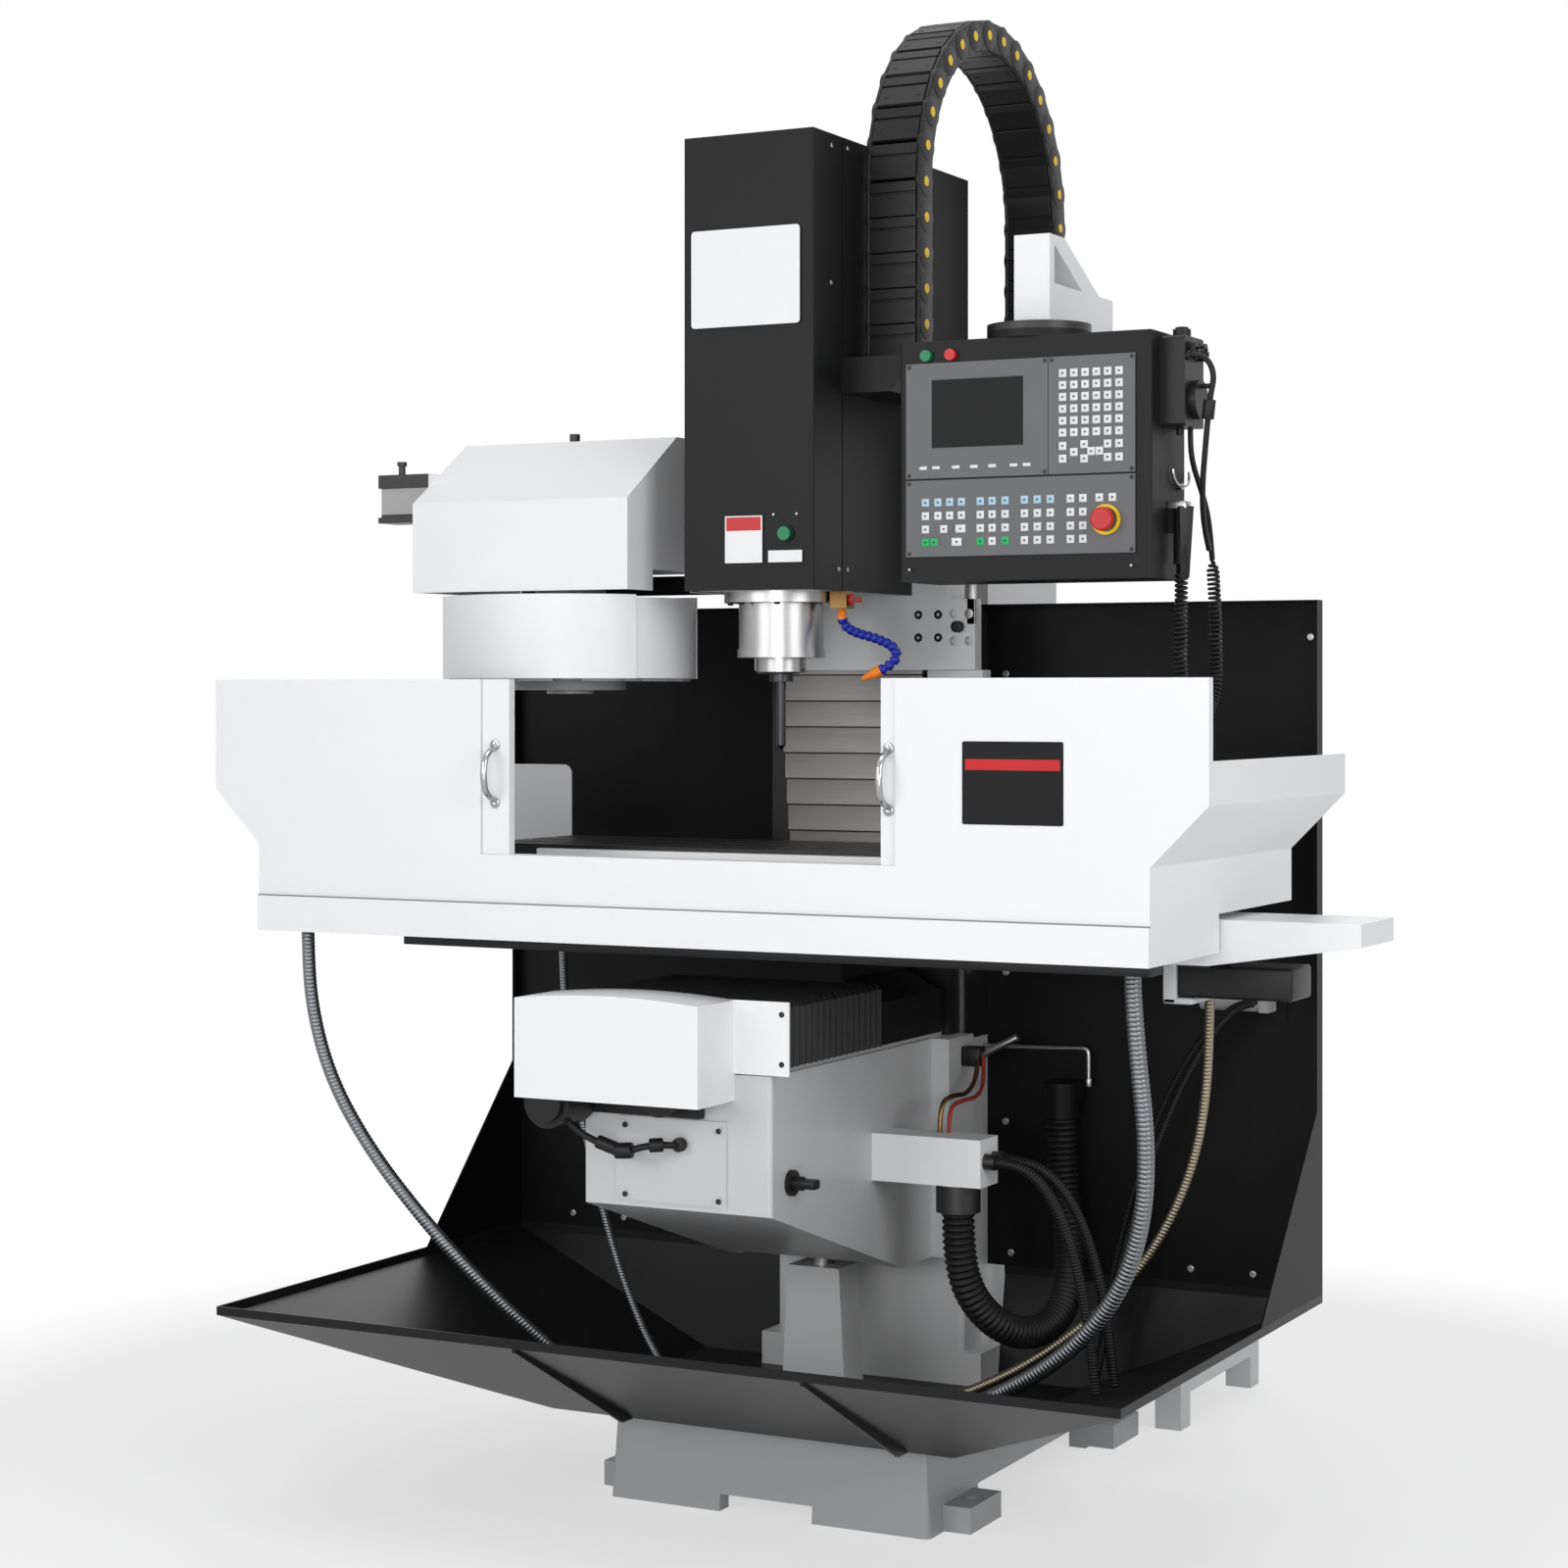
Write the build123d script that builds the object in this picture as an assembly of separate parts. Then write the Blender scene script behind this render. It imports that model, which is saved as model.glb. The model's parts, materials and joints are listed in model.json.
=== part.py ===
# Drilling and milling machine on a knee, with a tool drum, a table enclosure and a hung control box.
# Millimetres, +Z up, +Y to the back; the origin is on the floor, midway between the anchor bolts.
import os
from math import asin, cos, degrees, pi, radians, sin, tan

from build123d import *

os.makedirs("parts", exist_ok=True)

# Shared sizes
overrun = 5.0            # how far a cut runs past the face that it opens
slide_gap = 0.3          # between faces that slide or turn on each other
bore_gap = 0.05          # radial gap of a shaft in its bore
sheet = 3.0              # thickness of the folded sheet

# Base casting
base_half_w = 294.0
base_half_d = 435.0
base_h = 153.0
base_draft_deg = 4.0
base_wall = 32.0
base_round = 12.0
front_notch_w = 170.0
front_notch_h = 28.0
side_notch_w = 470.0
side_notch_h = 45.0
lug_reach = 46.0
lug_half_len = 62.0
lug_h = 42.0
anchor_half_x = 317.0
anchor_half_y = 314.0
anchor_hole_r = 11.0

# Column and its ways
column_half_w = 180.0
column_front_y = -43.0
column_depth = 425.0
column_top_z = 1950.0
column_wall = 35.0
column_round = 9.0
column_foot_reach = 32.0
column_foot_h = 60.0
way_w = 60.0
way_inset = 10.0
way_proud = 40.0
way_bottom_z = 400.0
way_end_drop = 20.0      # from the column's top down to the ends of the ways
screw_r = 16.0
z_screw_stand = 20.0     # screw axis in front of the column
z_bearing_half_w = 45.0
z_bearing_h = 30.0
z_bearing_low_z = 985.0

# Cover over the motor on top of the column
top_cover_half_w = 120.0
top_cover_front_y = -117.0
top_cover_d = 230.0
top_cover_h = 305.0

# Chip tray: a rim with a floor that falls to a plate on the base
tray_half_w = 784.0
tray_front_y = -862.0
tray_back_y = 62.0
tray_rim_z = 349.0
tray_rim_h = 14.0
tray_plate_half_w = 366.0
tray_plate_front_y = -500.0
tray_plate_back_y = 30.0
tray_rib_left_x = -217.0
tray_rib_right_x = 282.0
tray_rib_t = 6.0
tray_rib_h = 34.0

# Splash wall behind the work space
wall_top_z = 1501.0
wall_flange = 26.0
gusset_h = 306.0
gusset_d = 313.0
fitting_edge = 94.0      # steel cable sleeve, from the right edge of the wall
fitting_z = 832.0
fitting_r = 16.0
fitting_len = 104.0
fitting_plate = 70.0
fitting_stand = 30.0
port_x = 336.0           # cuff of the corrugated hose on the wall
port_z = 620.0
port_r = 31.0
port_h = 60.0
port_stand = 42.0

# Coolant tank on pads behind the base
tank_left_x = -250.0
tank_right_x = 400.0
tank_d = 440.0
tank_bottom_z = 62.0
tank_h = 190.0
tank_pad = 50.0
tank_lip = 18.0

# Knee on the column
knee_half_w = 166.0
knee_front_y = -731.0
knee_top_z = 762.0
knee_nose_z = 547.0
knee_heel_y = -261.0
knee_heel_z = 393.0
knee_lip_w = 28.0
knee_lip_d = 62.0
y_way_half_x = 140.0
y_way_w = 40.0
y_way_h = 14.0
y_way_end = 8.0
y_groove_half_w = 55.0
y_groove_depth = 66.0
y_groove_wall = 32.0
y_screw_drop = 36.0      # from the knee's top down to the screw's axis
knee_wall = 28.0         # the knee is hollow from below
knee_round = 7.0

# Pedestal of the lift screw, cast on the base
pedestal_half_w = 48.0
pedestal_foot_half_w = 60.0
pedestal_front_y = -261.0
pedestal_d = 72.0
pedestal_h = 228.0
lift_screw_r = 18.0
lift_bore_depth = 208.0
lift_engaged = 62.0

# Cover plates, motor and boxes on the knee
cover_plate = 4.0
front_plate_left_x = -105.0
front_plate_right_x = 90.0
front_plate_bottom_z = 556.0
front_plate_h = 132.0
front_plate_screw_r = 5.0
front_plate_screw_inset = 12.0
motor_cover_left_x = -221.0
motor_cover_right_x = 103.0
motor_cover_d = 118.0
motor_cover_bottom_z = 722.0
motor_cover_h = 154.0
motor_cover_bow = 9.0
end_plate_bottom_z = 764.0
motor_x = -173.0         # the motor drives the screw by a belt under the cover
motor_z = 714.0
motor_r = 40.0
motor_len = 84.0
motor_cap_r = 30.0
motor_cap_len = 9.0
motor_plate_t = 14.0
motor_plate_right_x = 52.0
motor_plate_bottom_z = 692.0
pulley_r = 27.0
pulley_len = 38.0
pulley_rim = 3.0
crank_y = -668.0
crank_z = 592.0
crank_r = 11.0
crank_flange_r = 20.0
crank_flange_t = 7.0
crank_out = 46.0
crank_in = 60.0
crank_flat = 7.0
box_y = -378.0           # junction box on the knee's right side
box_w = 192.0
box_d = 70.0
box_z = 555.0
box_h = 77.0
cuff_x = 304.0
cuff_r = 36.0
cuff_h = 45.0
gland_r = 13.0
gland_len = 20.0
gland_z = 596.0
gland_half_gap = 16.0

# Saddle and table
saddle_half_w = 190.0
saddle_front_y = -398.0
saddle_d = 240.0
saddle_top_z = 965.0
saddle_waist = 70.0
saddle_foot_h = 70.0
nut_half_w = 40.0
nut_len = 60.0
table_half_w = 500.0
table_front_y = -508.0
table_d = 300.0
table_top_z = 1095.0
table_slab_h = 62.0
table_neck_front_y = -438.0
table_neck_d = 200.0
table_neck_half_w = 480.0
slot_count = 3
slot_pitch = 80.0
slot_w = 16.0
slot_h = 30.0
slot_tee_w = 28.0
slot_tee_h = 13.0
x_groove_half_w = 48.0
x_screw_end = 12.0

# Folded cover over the Y ways, in slats
y_cover_half_w = 198.0
y_cover_top_z = 877.0
y_cover_bottom_z = 777.0
y_slat_count = 9
y_slat_step = 1.6

# Table enclosure
panel_y = -749.0
panel_half_w = 873.0
panel_low_half_w = 784.0
panel_top_z = 1369.0
panel_flare_top_z = 1187.0
panel_flare_low_z = 1097.0
panel_seam_z = 1013.0
panel_bottom_z = 954.0
panel_return = 14.0
opening_left_x = -348.0
opening_right_x = 383.0
sill_z = 1090.0
apron_out = 4.0
side_d = 646.0
side_top_z = 1250.0
side_notch_y = -453.0
floor_z = 1033.0
rear_plate_y = -178.0
rear_plate_x = 526.0
rear_plate_top_z = 1219.0
rear_plate_corner = 16.0
track_d = 34.0
track_h = 28.0

# Sliding doors and their handles
door_gap = 2.0
door_t = 16.0
door_tuck = 105.0        # from the front's side edge to the hidden end of a door
door_left_edge_x = -297.0
door_right_edge_x = 357.0
handle_r = 6.0
handle_h = 118.0
handle_z = 1218.0
handle_out = 40.0
handle_inset = 13.0

# Cover of the X drive, at the table's right end
x_cover_front_y = -438.0
x_cover_d = 170.0
x_cover_end_x = 1000.0
x_cover_knee_x = 760.0
x_cover_top_z = 1003.0
x_cover_end_z = 968.0
x_cover_bottom_z = 932.0

# Head on the column
spindle_y = -378.0
slide_front_y = -122.0
slide_half_w = 185.0
slide_bottom_z = 1386.0
slide_h = 454.0
slide_lip_d = 33.0
ear_w = 51.0             # ear with four bolts on the slide's right side
ear_d = 26.0
ear_h = 120.0
ear_mid_share = 0.6
ear_bolt_r = 8.0
ear_bolt_depth = 9.0
ear_bolt_half_x = 14.0
ear_bolt_half_z = 23.0
quill_half_w = 100.0
quill_front_y = -480.0
quill_bottom_z = 1513.0
quill_h = 250.0
head_nut_half_w = 50.0
head_nut_h = 80.0
head_nut_z = 1560.0
cover_half_w = 118.5
cover_front_y = -495.0
cover_top_z = 2252.0
cover_seam_y = -392.0
cover_seam_w = 3.0
cover_seam_depth = 1.4
bracket_out = 114.0      # carrier of the drag chain on the cover's side
bracket_y = -396.0
bracket_d = 221.0
bracket_z = 1834.0
bracket_h = 58.0
bracket_fall = 26.0
head_button_x = 69.0
head_button_z = 1603.0
button_r = 11.0
button_out = 9.0
button_in = 8.0
button_bezel_r = 15.0
button_bezel_t = 3.0

# Spindle and tool
flange_r = 94.0
flange_t = 18.0
housing_r = 70.0
housing_h = 90.0
housing_ring_r = 72.5
housing_ring_h = 14.0
spindle_r = 34.0
nose_r = 41.0
nose_h = 26.0
nose_chamfer = 3.0
key_w = 16.0
key_r_share = 0.62
holder_r = 20.0
holder_h = 13.0
drill_r = 8.0
drill_len = 112.0
drill_tip = 7.0
flute_r = 4.5
flute_out_share = 1 / 3

# Coolant valve and its jointed hose
valve_gap = 3.0          # from the spindle flange
valve_half_w = 15.0
valve_half_d = 15.0
valve_h = 28.0
lever_t = 5.0
lever_w = 9.0
lever_len = 34.0
pivot_r = 4.0
hose_r = 8.0
hose_tip_r = 4.0
hose_tip_len = 30.0

# Tool drum on its slide
drum_x = -406.0
drum_r = 217.0
drum_top_z = 1510.0
drum_bottom_z = 1371.0
drum_plate = 4.0
drum_pitch_r = 192.0
drum_slot_half_w = 104.0
drum_slot_in = 82.0
shutter_t = 2.0
shutter_over_deg = 2.0
shutter_edge = 4.0
disc_r = 207.0
disc_t = 10.0
disc_nose_gap = 2.0      # below the spindle nose
pocket_count = 12
pocket_r = 24.0
disc_cap_r = 95.0
disc_cap_t = 15.0
disc_hub_r = 45.0
disc_hub_gap = 9.0
drum_shaft_r = 16.0
shaft_foot_r = 40.0
shaft_foot_t = 6.0
collar_r = 60.0
carriage_z = 1532.0
carriage_t = 14.0
carriage_half_d = 112.0
carriage_left = 150.0
carriage_right = -20.0   # stays on the rails when the drum is out
rail_half_gap = 90.0
rail_w = 20.0
rail_h = 18.0
rail_lift = 4.0
guide_len = 40.0
guide_w = 46.0

# Roof and arm of the tool drum
roof_left_x = -628.0
roof_right_x = -206.0
roof_front_y = -528.0
roof_ridge_y = -363.0
roof_back_y = -188.0
roof_bottom_z = 1517.0
roof_eave_z = 1668.0
roof_ridge_z = 1778.0
roof_pass_gap = 6.0      # round the carriage's tongue, in the right end
arm_plate = 12.0
arm_beam_w = 120.0
arm_beam_h = 110.0
arm_beam_x = -400.0
arm_foot_y = 40.0
knob_r = 9.0
knob_h = 14.0
valve_block_w = 104.0    # air valve on the roof's left end
valve_block_y = -480.0
valve_block_d = 60.0
valve_block_z = 1640.0
valve_base_h = 10.0
valve_body_h = 50.0
valve_body_inset = 4.0
valve_cap_h = 23.0
valve_stem_r = 6.0
valve_stem_h = 24.0
valve_stem_edge = 29.0
valve_knob_r = 8.5
valve_knob_h = 7.0

# Control box on its arm
panel_box_left_x = 263.0
panel_box_w = 422.0
panel_box_y = -478.0
panel_box_d = 150.0
panel_box_z = 1522.0
panel_box_h = 378.0
panel_box_round = 5.0
face_t = 4.0
face_left = 13.0
face_w = 384.0
face_upper_z = 1684.0
face_upper_h = 181.0
face_lower_z = 1561.0
face_lower_h = 120.0
screen_left = 44.0
screen_w = 156.0
screen_bottom = 47.0
screen_h = 108.0
screen_depth = 2.0
key_size = 10.0
key_proud = 1.2
keypad_left = 261.0
keypad_bottom = 59.0
keypad_pitch_x = 18.5
keypad_pitch_z = 18.3
keypad_columns = 6
keypad_rows = 6
keypad_foot_bottom = 18.5
keypad_foot_pitch = 20.5
keypad_foot_columns = (0, 4, 5)
keypad_foot_rows = 2
key_group_lefts = (29.0, 123.0, 197.5, 274.0)   # left edges of the groups of machine keys
key_group_counts = (4, 3, 3, 2)
lower_key_bottom = 17.5
lower_key_pitch_x = 20.8
lower_key_pitch_z = 20.8
lower_key_rows = 4
panel_button_z = 1877.0
start_button_x = 311.0
stop_button_x = 353.0
panel_button_r = 9.0
estop_x = 614.0
estop_z = 1612.0
estop_r = 18.0
estop_stem_r = 11.0
estop_stem = 12.0
estop_cap = 12.0
estop_round_share = 0.25
estop_plate_r = 23.0
swivel_x = 470.0
swivel_y = -403.0
swivel_r = 82.0
swivel_t = 12.0
arm_bracket_w = 60.0
arm_bracket_d = 210.0
arm_bracket_h = 140.0
arm_bracket_tail_h = 64.0
arm_window_share = 0.55
arm_window_edge_share = 1 / 3
arm_window_top = 15.0
arm_tube_h = 80.0
arm_tube_w = 60.0
arm_tube_z = 1800.0
arm_wall = 5.0

# Hand pendant on the control box's side
pendant_y = -440.0
pendant_d = 84.0
pendant_z = 1755.0
pendant_h = 138.0
pendant_w = 40.0
pendant_cap_r = 14.0
pendant_cap_h = 13.0
pendant_knob_share = 0.25
wheel_r = 30.0
wheel_t = 12.0
wheel_hub_r = 8.0
wheel_lift = 42.0
wheel_grip_r = 4.0
wheel_grip_h = 14.0
wheel_grip_share = 0.68
socket_z = 1545.0        # sleeve in which the curly cord hangs
socket_r = 12.0
socket_h = 96.0
socket_x = 704.0
socket_y = -398.0

# Drag chain from the head to the column
chain_x = 130.0
chain_w = 98.0
chain_t = 54.0
chain_front_y = -328.0
chain_loop_r = 288.0
chain_top_z = 2500.0
chain_links_front = 5
chain_links_loop = 15
chain_links_rear = 4
chain_link_gap = 0.6
chain_side = 9.0
chain_lid = 6.0
chain_pin_r = 8.5
chain_pin_proud = 1.0
chain_slot_depth = 2.0
chain_pin_share = 0.5
chain_slot_shares = (0.26, 0.33)
chain_foot_t = 12.0

# Slatted cover over the Z ways
z_cover_half_w = 136.0
z_cover_front_y = -117.5
z_cover_count = 8
z_cover_pitch = 45.0
z_cover_lap = 9.0
z_cover_t = 1.6
z_cover_step = 2.0
z_cover_back_gap = 2.0

# Cords: outer radius of each, and the share of a run that a bend may use
drain_left_r = 11.0
drain_right_r = 13.0
coolant_line_r = 8.0
corrugated_r = 27.0
conduit_r = 9.0
curly_r = 11.0
lead_r = 4.5
bend_share = 0.45

# Places worked out from the sizes above
column_back_y = column_front_y + column_depth
pedestal_top_z = base_h + pedestal_h
lift_screw_y = pedestal_front_y + pedestal_d / 2
way_front_y = column_front_y - way_proud
way_out_x = column_half_w - way_inset
way_in_x = way_out_x - way_w
way_top_z = column_top_z - way_end_drop
z_screw_y = column_front_y - z_screw_stand
tray_low_z = tray_rim_z - tray_rim_h
fitting_x = tray_half_w - fitting_edge
knee_back_y = way_front_y - slide_gap
y_screw_z = knee_top_z - y_screw_drop
knee_ceiling_z = knee_top_z - y_groove_depth - knee_wall
y_way_top_z = knee_top_z + y_way_h
saddle_back_y = saddle_front_y + saddle_d
saddle_mid_y = saddle_front_y + saddle_d / 2
table_back_y = table_front_y + table_d
table_slab_z = table_top_z - table_slab_h
table_neck_z = saddle_top_z + slide_gap
x_screw_z = (saddle_top_z + table_slab_z) / 2
panel_back_y = panel_y + sheet
side_back_y = panel_y + side_d
door_y = panel_back_y + door_gap
door_z = sill_z + slide_gap
door_left_x = door_tuck - panel_half_w
door_right_x = panel_half_w - door_tuck
slide_back_y = way_front_y - slide_gap
slide_top_z = slide_bottom_z + slide_h
housing_z = quill_bottom_z - flange_t - housing_h
nose_z = housing_z - slide_gap - nose_h
valve_x = flange_r + valve_gap + valve_half_w
valve_y = spindle_y
valve_z = quill_bottom_z - valve_h
drum_inner_r = drum_r - sheet
disc_top_z = nose_z - disc_nose_gap
drum_open_deg = degrees(asin(drum_slot_half_w / drum_inner_r))
rail_z = carriage_z + carriage_t + rail_lift
arm_plate_z = rail_z + rail_h
panel_box_right_x = panel_box_left_x + panel_box_w
panel_box_top_z = panel_box_z + panel_box_h
arm_bracket_z = panel_box_top_z + 2 * swivel_t + slide_gap
chain_rear_y = chain_front_y + 2 * chain_loop_r
chain_centre_y = chain_front_y + chain_loop_r + chain_t / 2
chain_centre_z = chain_top_z - (chain_loop_r + chain_t / 2) * cos(pi / (2 * chain_links_loop))
chain_low_z = bracket_z + bracket_h
chain_end_z = column_top_z + chain_foot_t


def block(x0, x1, y0, y1, z0, z1):
    return Pos((x0 + x1) / 2, (y0 + y1) / 2, (z0 + z1) / 2) * Box(x1 - x0, y1 - y0, z1 - z0)


def rod_x(x0, x1, y, z, r):
    return Pos((x0 + x1) / 2, y, z) * Rot(0, 90, 0) * Cylinder(r, x1 - x0)


def rod_y(x, y0, y1, z, r):
    return Pos(x, (y0 + y1) / 2, z) * Rot(90, 0, 0) * Cylinder(r, y1 - y0)


def rod_z(x, y, z0, z1, r):
    return Pos(x, y, (z0 + z1) / 2) * Cylinder(r, z1 - z0)


def prism_x(points, x0, x1):
    return Pos(x0, 0, 0) * extrude(Plane.YZ * make_face(Polyline(*points, close=True)), amount=x1 - x0)


def prism_y(points, y0, y1):
    return Pos(0, y1, 0) * extrude(Plane.XZ * make_face(Polyline(*points, close=True)), amount=y1 - y0)


def prism_z(points, z0, z1):
    return Pos(0, 0, z0) * extrude(make_face(Polyline(*points, close=True)), amount=z1 - z0)


def turned(points, x, y):
    return Pos(x, y, 0) * revolve(Plane.XZ * make_face(Polyline(*points, close=True)), Axis.Z)


def save(name, *solids):
    shape = solids[0] if len(solids) == 1 else Compound(children=list(solids))
    export_step(shape, f"parts/{name}.step")


def base_casting():
    plan = RectangleRounded(2 * base_half_w, 2 * base_half_d, base_round)
    body = extrude(plan, amount=base_h, taper=base_draft_deg)
    inner_w = base_half_w - base_wall
    inner_d = base_half_d - base_wall
    for side_x in (-1, 1):
        for side_y in (-1, 1):
            lug_x = sorted((side_x * (base_half_w - base_wall), side_x * (base_half_w + lug_reach)))
            lug_y = side_y * anchor_half_y
            body += block(*lug_x, lug_y - lug_half_len, lug_y + lug_half_len, 0, lug_h)
    body -= block(-inner_w, inner_w, -inner_d, inner_d, -overrun, base_h - base_wall)
    half_front = front_notch_w / 2
    half_side = side_notch_w / 2
    reach = base_half_w + lug_reach + overrun
    body -= block(-half_front, half_front, -base_half_d - overrun, base_half_d + overrun, -overrun,
                  front_notch_h)
    body -= block(-reach, reach, -half_side, half_side, -overrun, side_notch_h)
    for x in (-anchor_half_x, anchor_half_x):
        for y in (-anchor_half_y, anchor_half_y):
            body -= rod_z(x, y, -overrun, lug_h + overrun, anchor_hole_r)
    body += prism_y([(-pedestal_foot_half_w, base_h), (-pedestal_half_w, pedestal_top_z),
                     (pedestal_half_w, pedestal_top_z), (pedestal_foot_half_w, base_h)],
                    pedestal_front_y, pedestal_front_y + pedestal_d)
    return body - rod_z(0, lift_screw_y, pedestal_top_z - lift_bore_depth, pedestal_top_z + overrun,
                        lift_screw_r + bore_gap)


def column():
    outer = column_half_w
    foot = outer + column_foot_reach
    body = block(-outer, outer, column_front_y, column_back_y, base_h, column_top_z)
    body = fillet(body.edges().filter_by(Axis.Z), column_round)
    body += block(-foot, foot, column_front_y, column_back_y + column_foot_reach, base_h,
                  base_h + column_foot_h)
    inner = outer - column_wall
    body -= block(-inner, inner, column_front_y + column_wall, column_back_y - column_wall,
                  base_h - overrun, column_top_z - column_wall)
    for side in (-1, 1):
        way_x = sorted((side * way_in_x, side * way_out_x))
        body += block(*way_x, way_front_y, column_front_y, way_bottom_z, way_top_z)
    for z in (z_bearing_low_z, way_top_z - z_bearing_h):
        bearing = block(-z_bearing_half_w, z_bearing_half_w, way_front_y, column_front_y, z, z + z_bearing_h)
        body += bearing
        body -= rod_z(0, z_screw_y, z - overrun, z + z_bearing_h + overrun, screw_r + bore_gap)
    foot_x = chain_x + chain_w
    body += block(column_half_w - chain_w, foot_x, chain_rear_y, chain_rear_y + chain_t,
                  column_top_z, chain_end_z)
    return body


def lift_screw():
    return rod_z(0, lift_screw_y, pedestal_top_z - lift_engaged, knee_ceiling_z - slide_gap, lift_screw_r)


def z_screw():
    return rod_z(0, z_screw_y, z_bearing_low_z, way_top_z, screw_r)


def column_top_cover():
    back = top_cover_front_y + top_cover_d
    top = column_top_z + top_cover_h
    half = top_cover_half_w
    shell = block(-half, half, top_cover_front_y, back, column_top_z, top)
    shell = fillet(shell.edges().filter_by(Axis.Z), sheet)
    return shell - block(-half + sheet, half - sheet, top_cover_front_y + sheet, back - sheet,
                         column_top_z - overrun, top - sheet)


def tray_form(drop):
    rim = Pos(0, (tray_front_y + tray_back_y) / 2, tray_low_z + drop) * Rectangle(
        2 * tray_half_w, tray_back_y - tray_front_y)
    plate = Pos(0, (tray_plate_front_y + tray_plate_back_y) / 2, base_h + drop) * Rectangle(
        2 * tray_plate_half_w, tray_plate_back_y - tray_plate_front_y)
    return loft([plate, rim])


def chip_tray():
    pan = tray_form(0) - tray_form(sheet)
    rim = block(-tray_half_w, tray_half_w, tray_front_y, tray_back_y, tray_low_z, tray_rim_z)
    rim -= block(-tray_half_w + sheet, tray_half_w - sheet, tray_front_y + sheet, tray_back_y - sheet,
                 tray_low_z - overrun, tray_rim_z + overrun)
    foot = column_half_w + column_foot_reach
    pan += rim
    pan -= block(-foot, foot, column_front_y, tray_back_y + overrun, 0, tray_rim_z + overrun)
    pan -= block(-pedestal_foot_half_w, pedestal_foot_half_w, pedestal_front_y, pedestal_front_y + pedestal_d,
                 0, tray_low_z)
    for x in (tray_rib_left_x, tray_rib_right_x):
        rib = [(tray_plate_front_y, base_h), (tray_front_y, tray_low_z),
               (tray_front_y, tray_low_z - tray_rib_t),
               (tray_plate_front_y - tray_rib_h, base_h)]
        pan += prism_x(rib, x, x + tray_rib_t)
    return pan


def splash_wall():
    halves = []
    for side in (-1, 1):
        inner_x = side * column_half_w
        outer_x = side * tray_half_w
        edge_x = side * (tray_half_w - sheet)
        front_y = tray_back_y - sheet
        wall = block(*sorted((inner_x, outer_x)), front_y, tray_back_y, tray_rim_z, wall_top_z)
        wall += block(*sorted((edge_x, outer_x)), front_y - wall_flange, tray_back_y, tray_rim_z, wall_top_z)
        wall += block(*sorted((inner_x, outer_x)), front_y - wall_flange, tray_back_y,
                      wall_top_z - sheet, wall_top_z)
        gusset = [(front_y, tray_rim_z), (front_y, tray_rim_z + gusset_h),
                  (front_y - wall_flange, tray_rim_z + gusset_h), (front_y - gusset_d, tray_rim_z)]
        wall += prism_x(gusset, *sorted((edge_x, outer_x)))
        halves.append(wall)
    left, right = halves
    return left, right + wall_sleeve() + wall_cuff()


def wall_sleeve():
    front_y = tray_back_y - sheet
    half = fitting_plate / 2
    sleeve = block(fitting_x, fitting_x + half, front_y - sheet, front_y, fitting_z - half, fitting_z + half)
    sleeve += block(fitting_x, fitting_x + fitting_r, front_y - fitting_stand - fitting_r, front_y,
                    fitting_z - fitting_r, fitting_z + fitting_r)
    return sleeve + rod_x(fitting_x - fitting_len, fitting_x, front_y - fitting_stand, fitting_z, fitting_r)


def wall_cuff():
    front_y = tray_back_y - sheet
    cuff_y = front_y - port_stand
    cuff = rod_z(port_x, cuff_y, port_z, port_z + port_h, port_r)
    return cuff + block(port_x - port_r, port_x + port_r, cuff_y, front_y, port_z + port_h / 2,
                        port_z + port_h)


def coolant_tank():
    front = base_half_d
    back = front + tank_d
    top = tank_bottom_z + tank_h
    tank = block(tank_left_x, tank_right_x, front, back, tank_bottom_z, top)
    tank += block(tank_left_x, tank_right_x + tank_lip, front, back + tank_lip, top - sheet, top)
    tank -= block(tank_left_x + sheet, tank_right_x - sheet, front + sheet, back - sheet,
                  tank_bottom_z + sheet, top - sheet)
    for x in (tank_left_x, tank_right_x - tank_pad):
        for y in (front, back - tank_pad):
            tank += block(x, x + tank_pad, y, y + tank_pad, 0, tank_bottom_z)
    return tank


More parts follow.
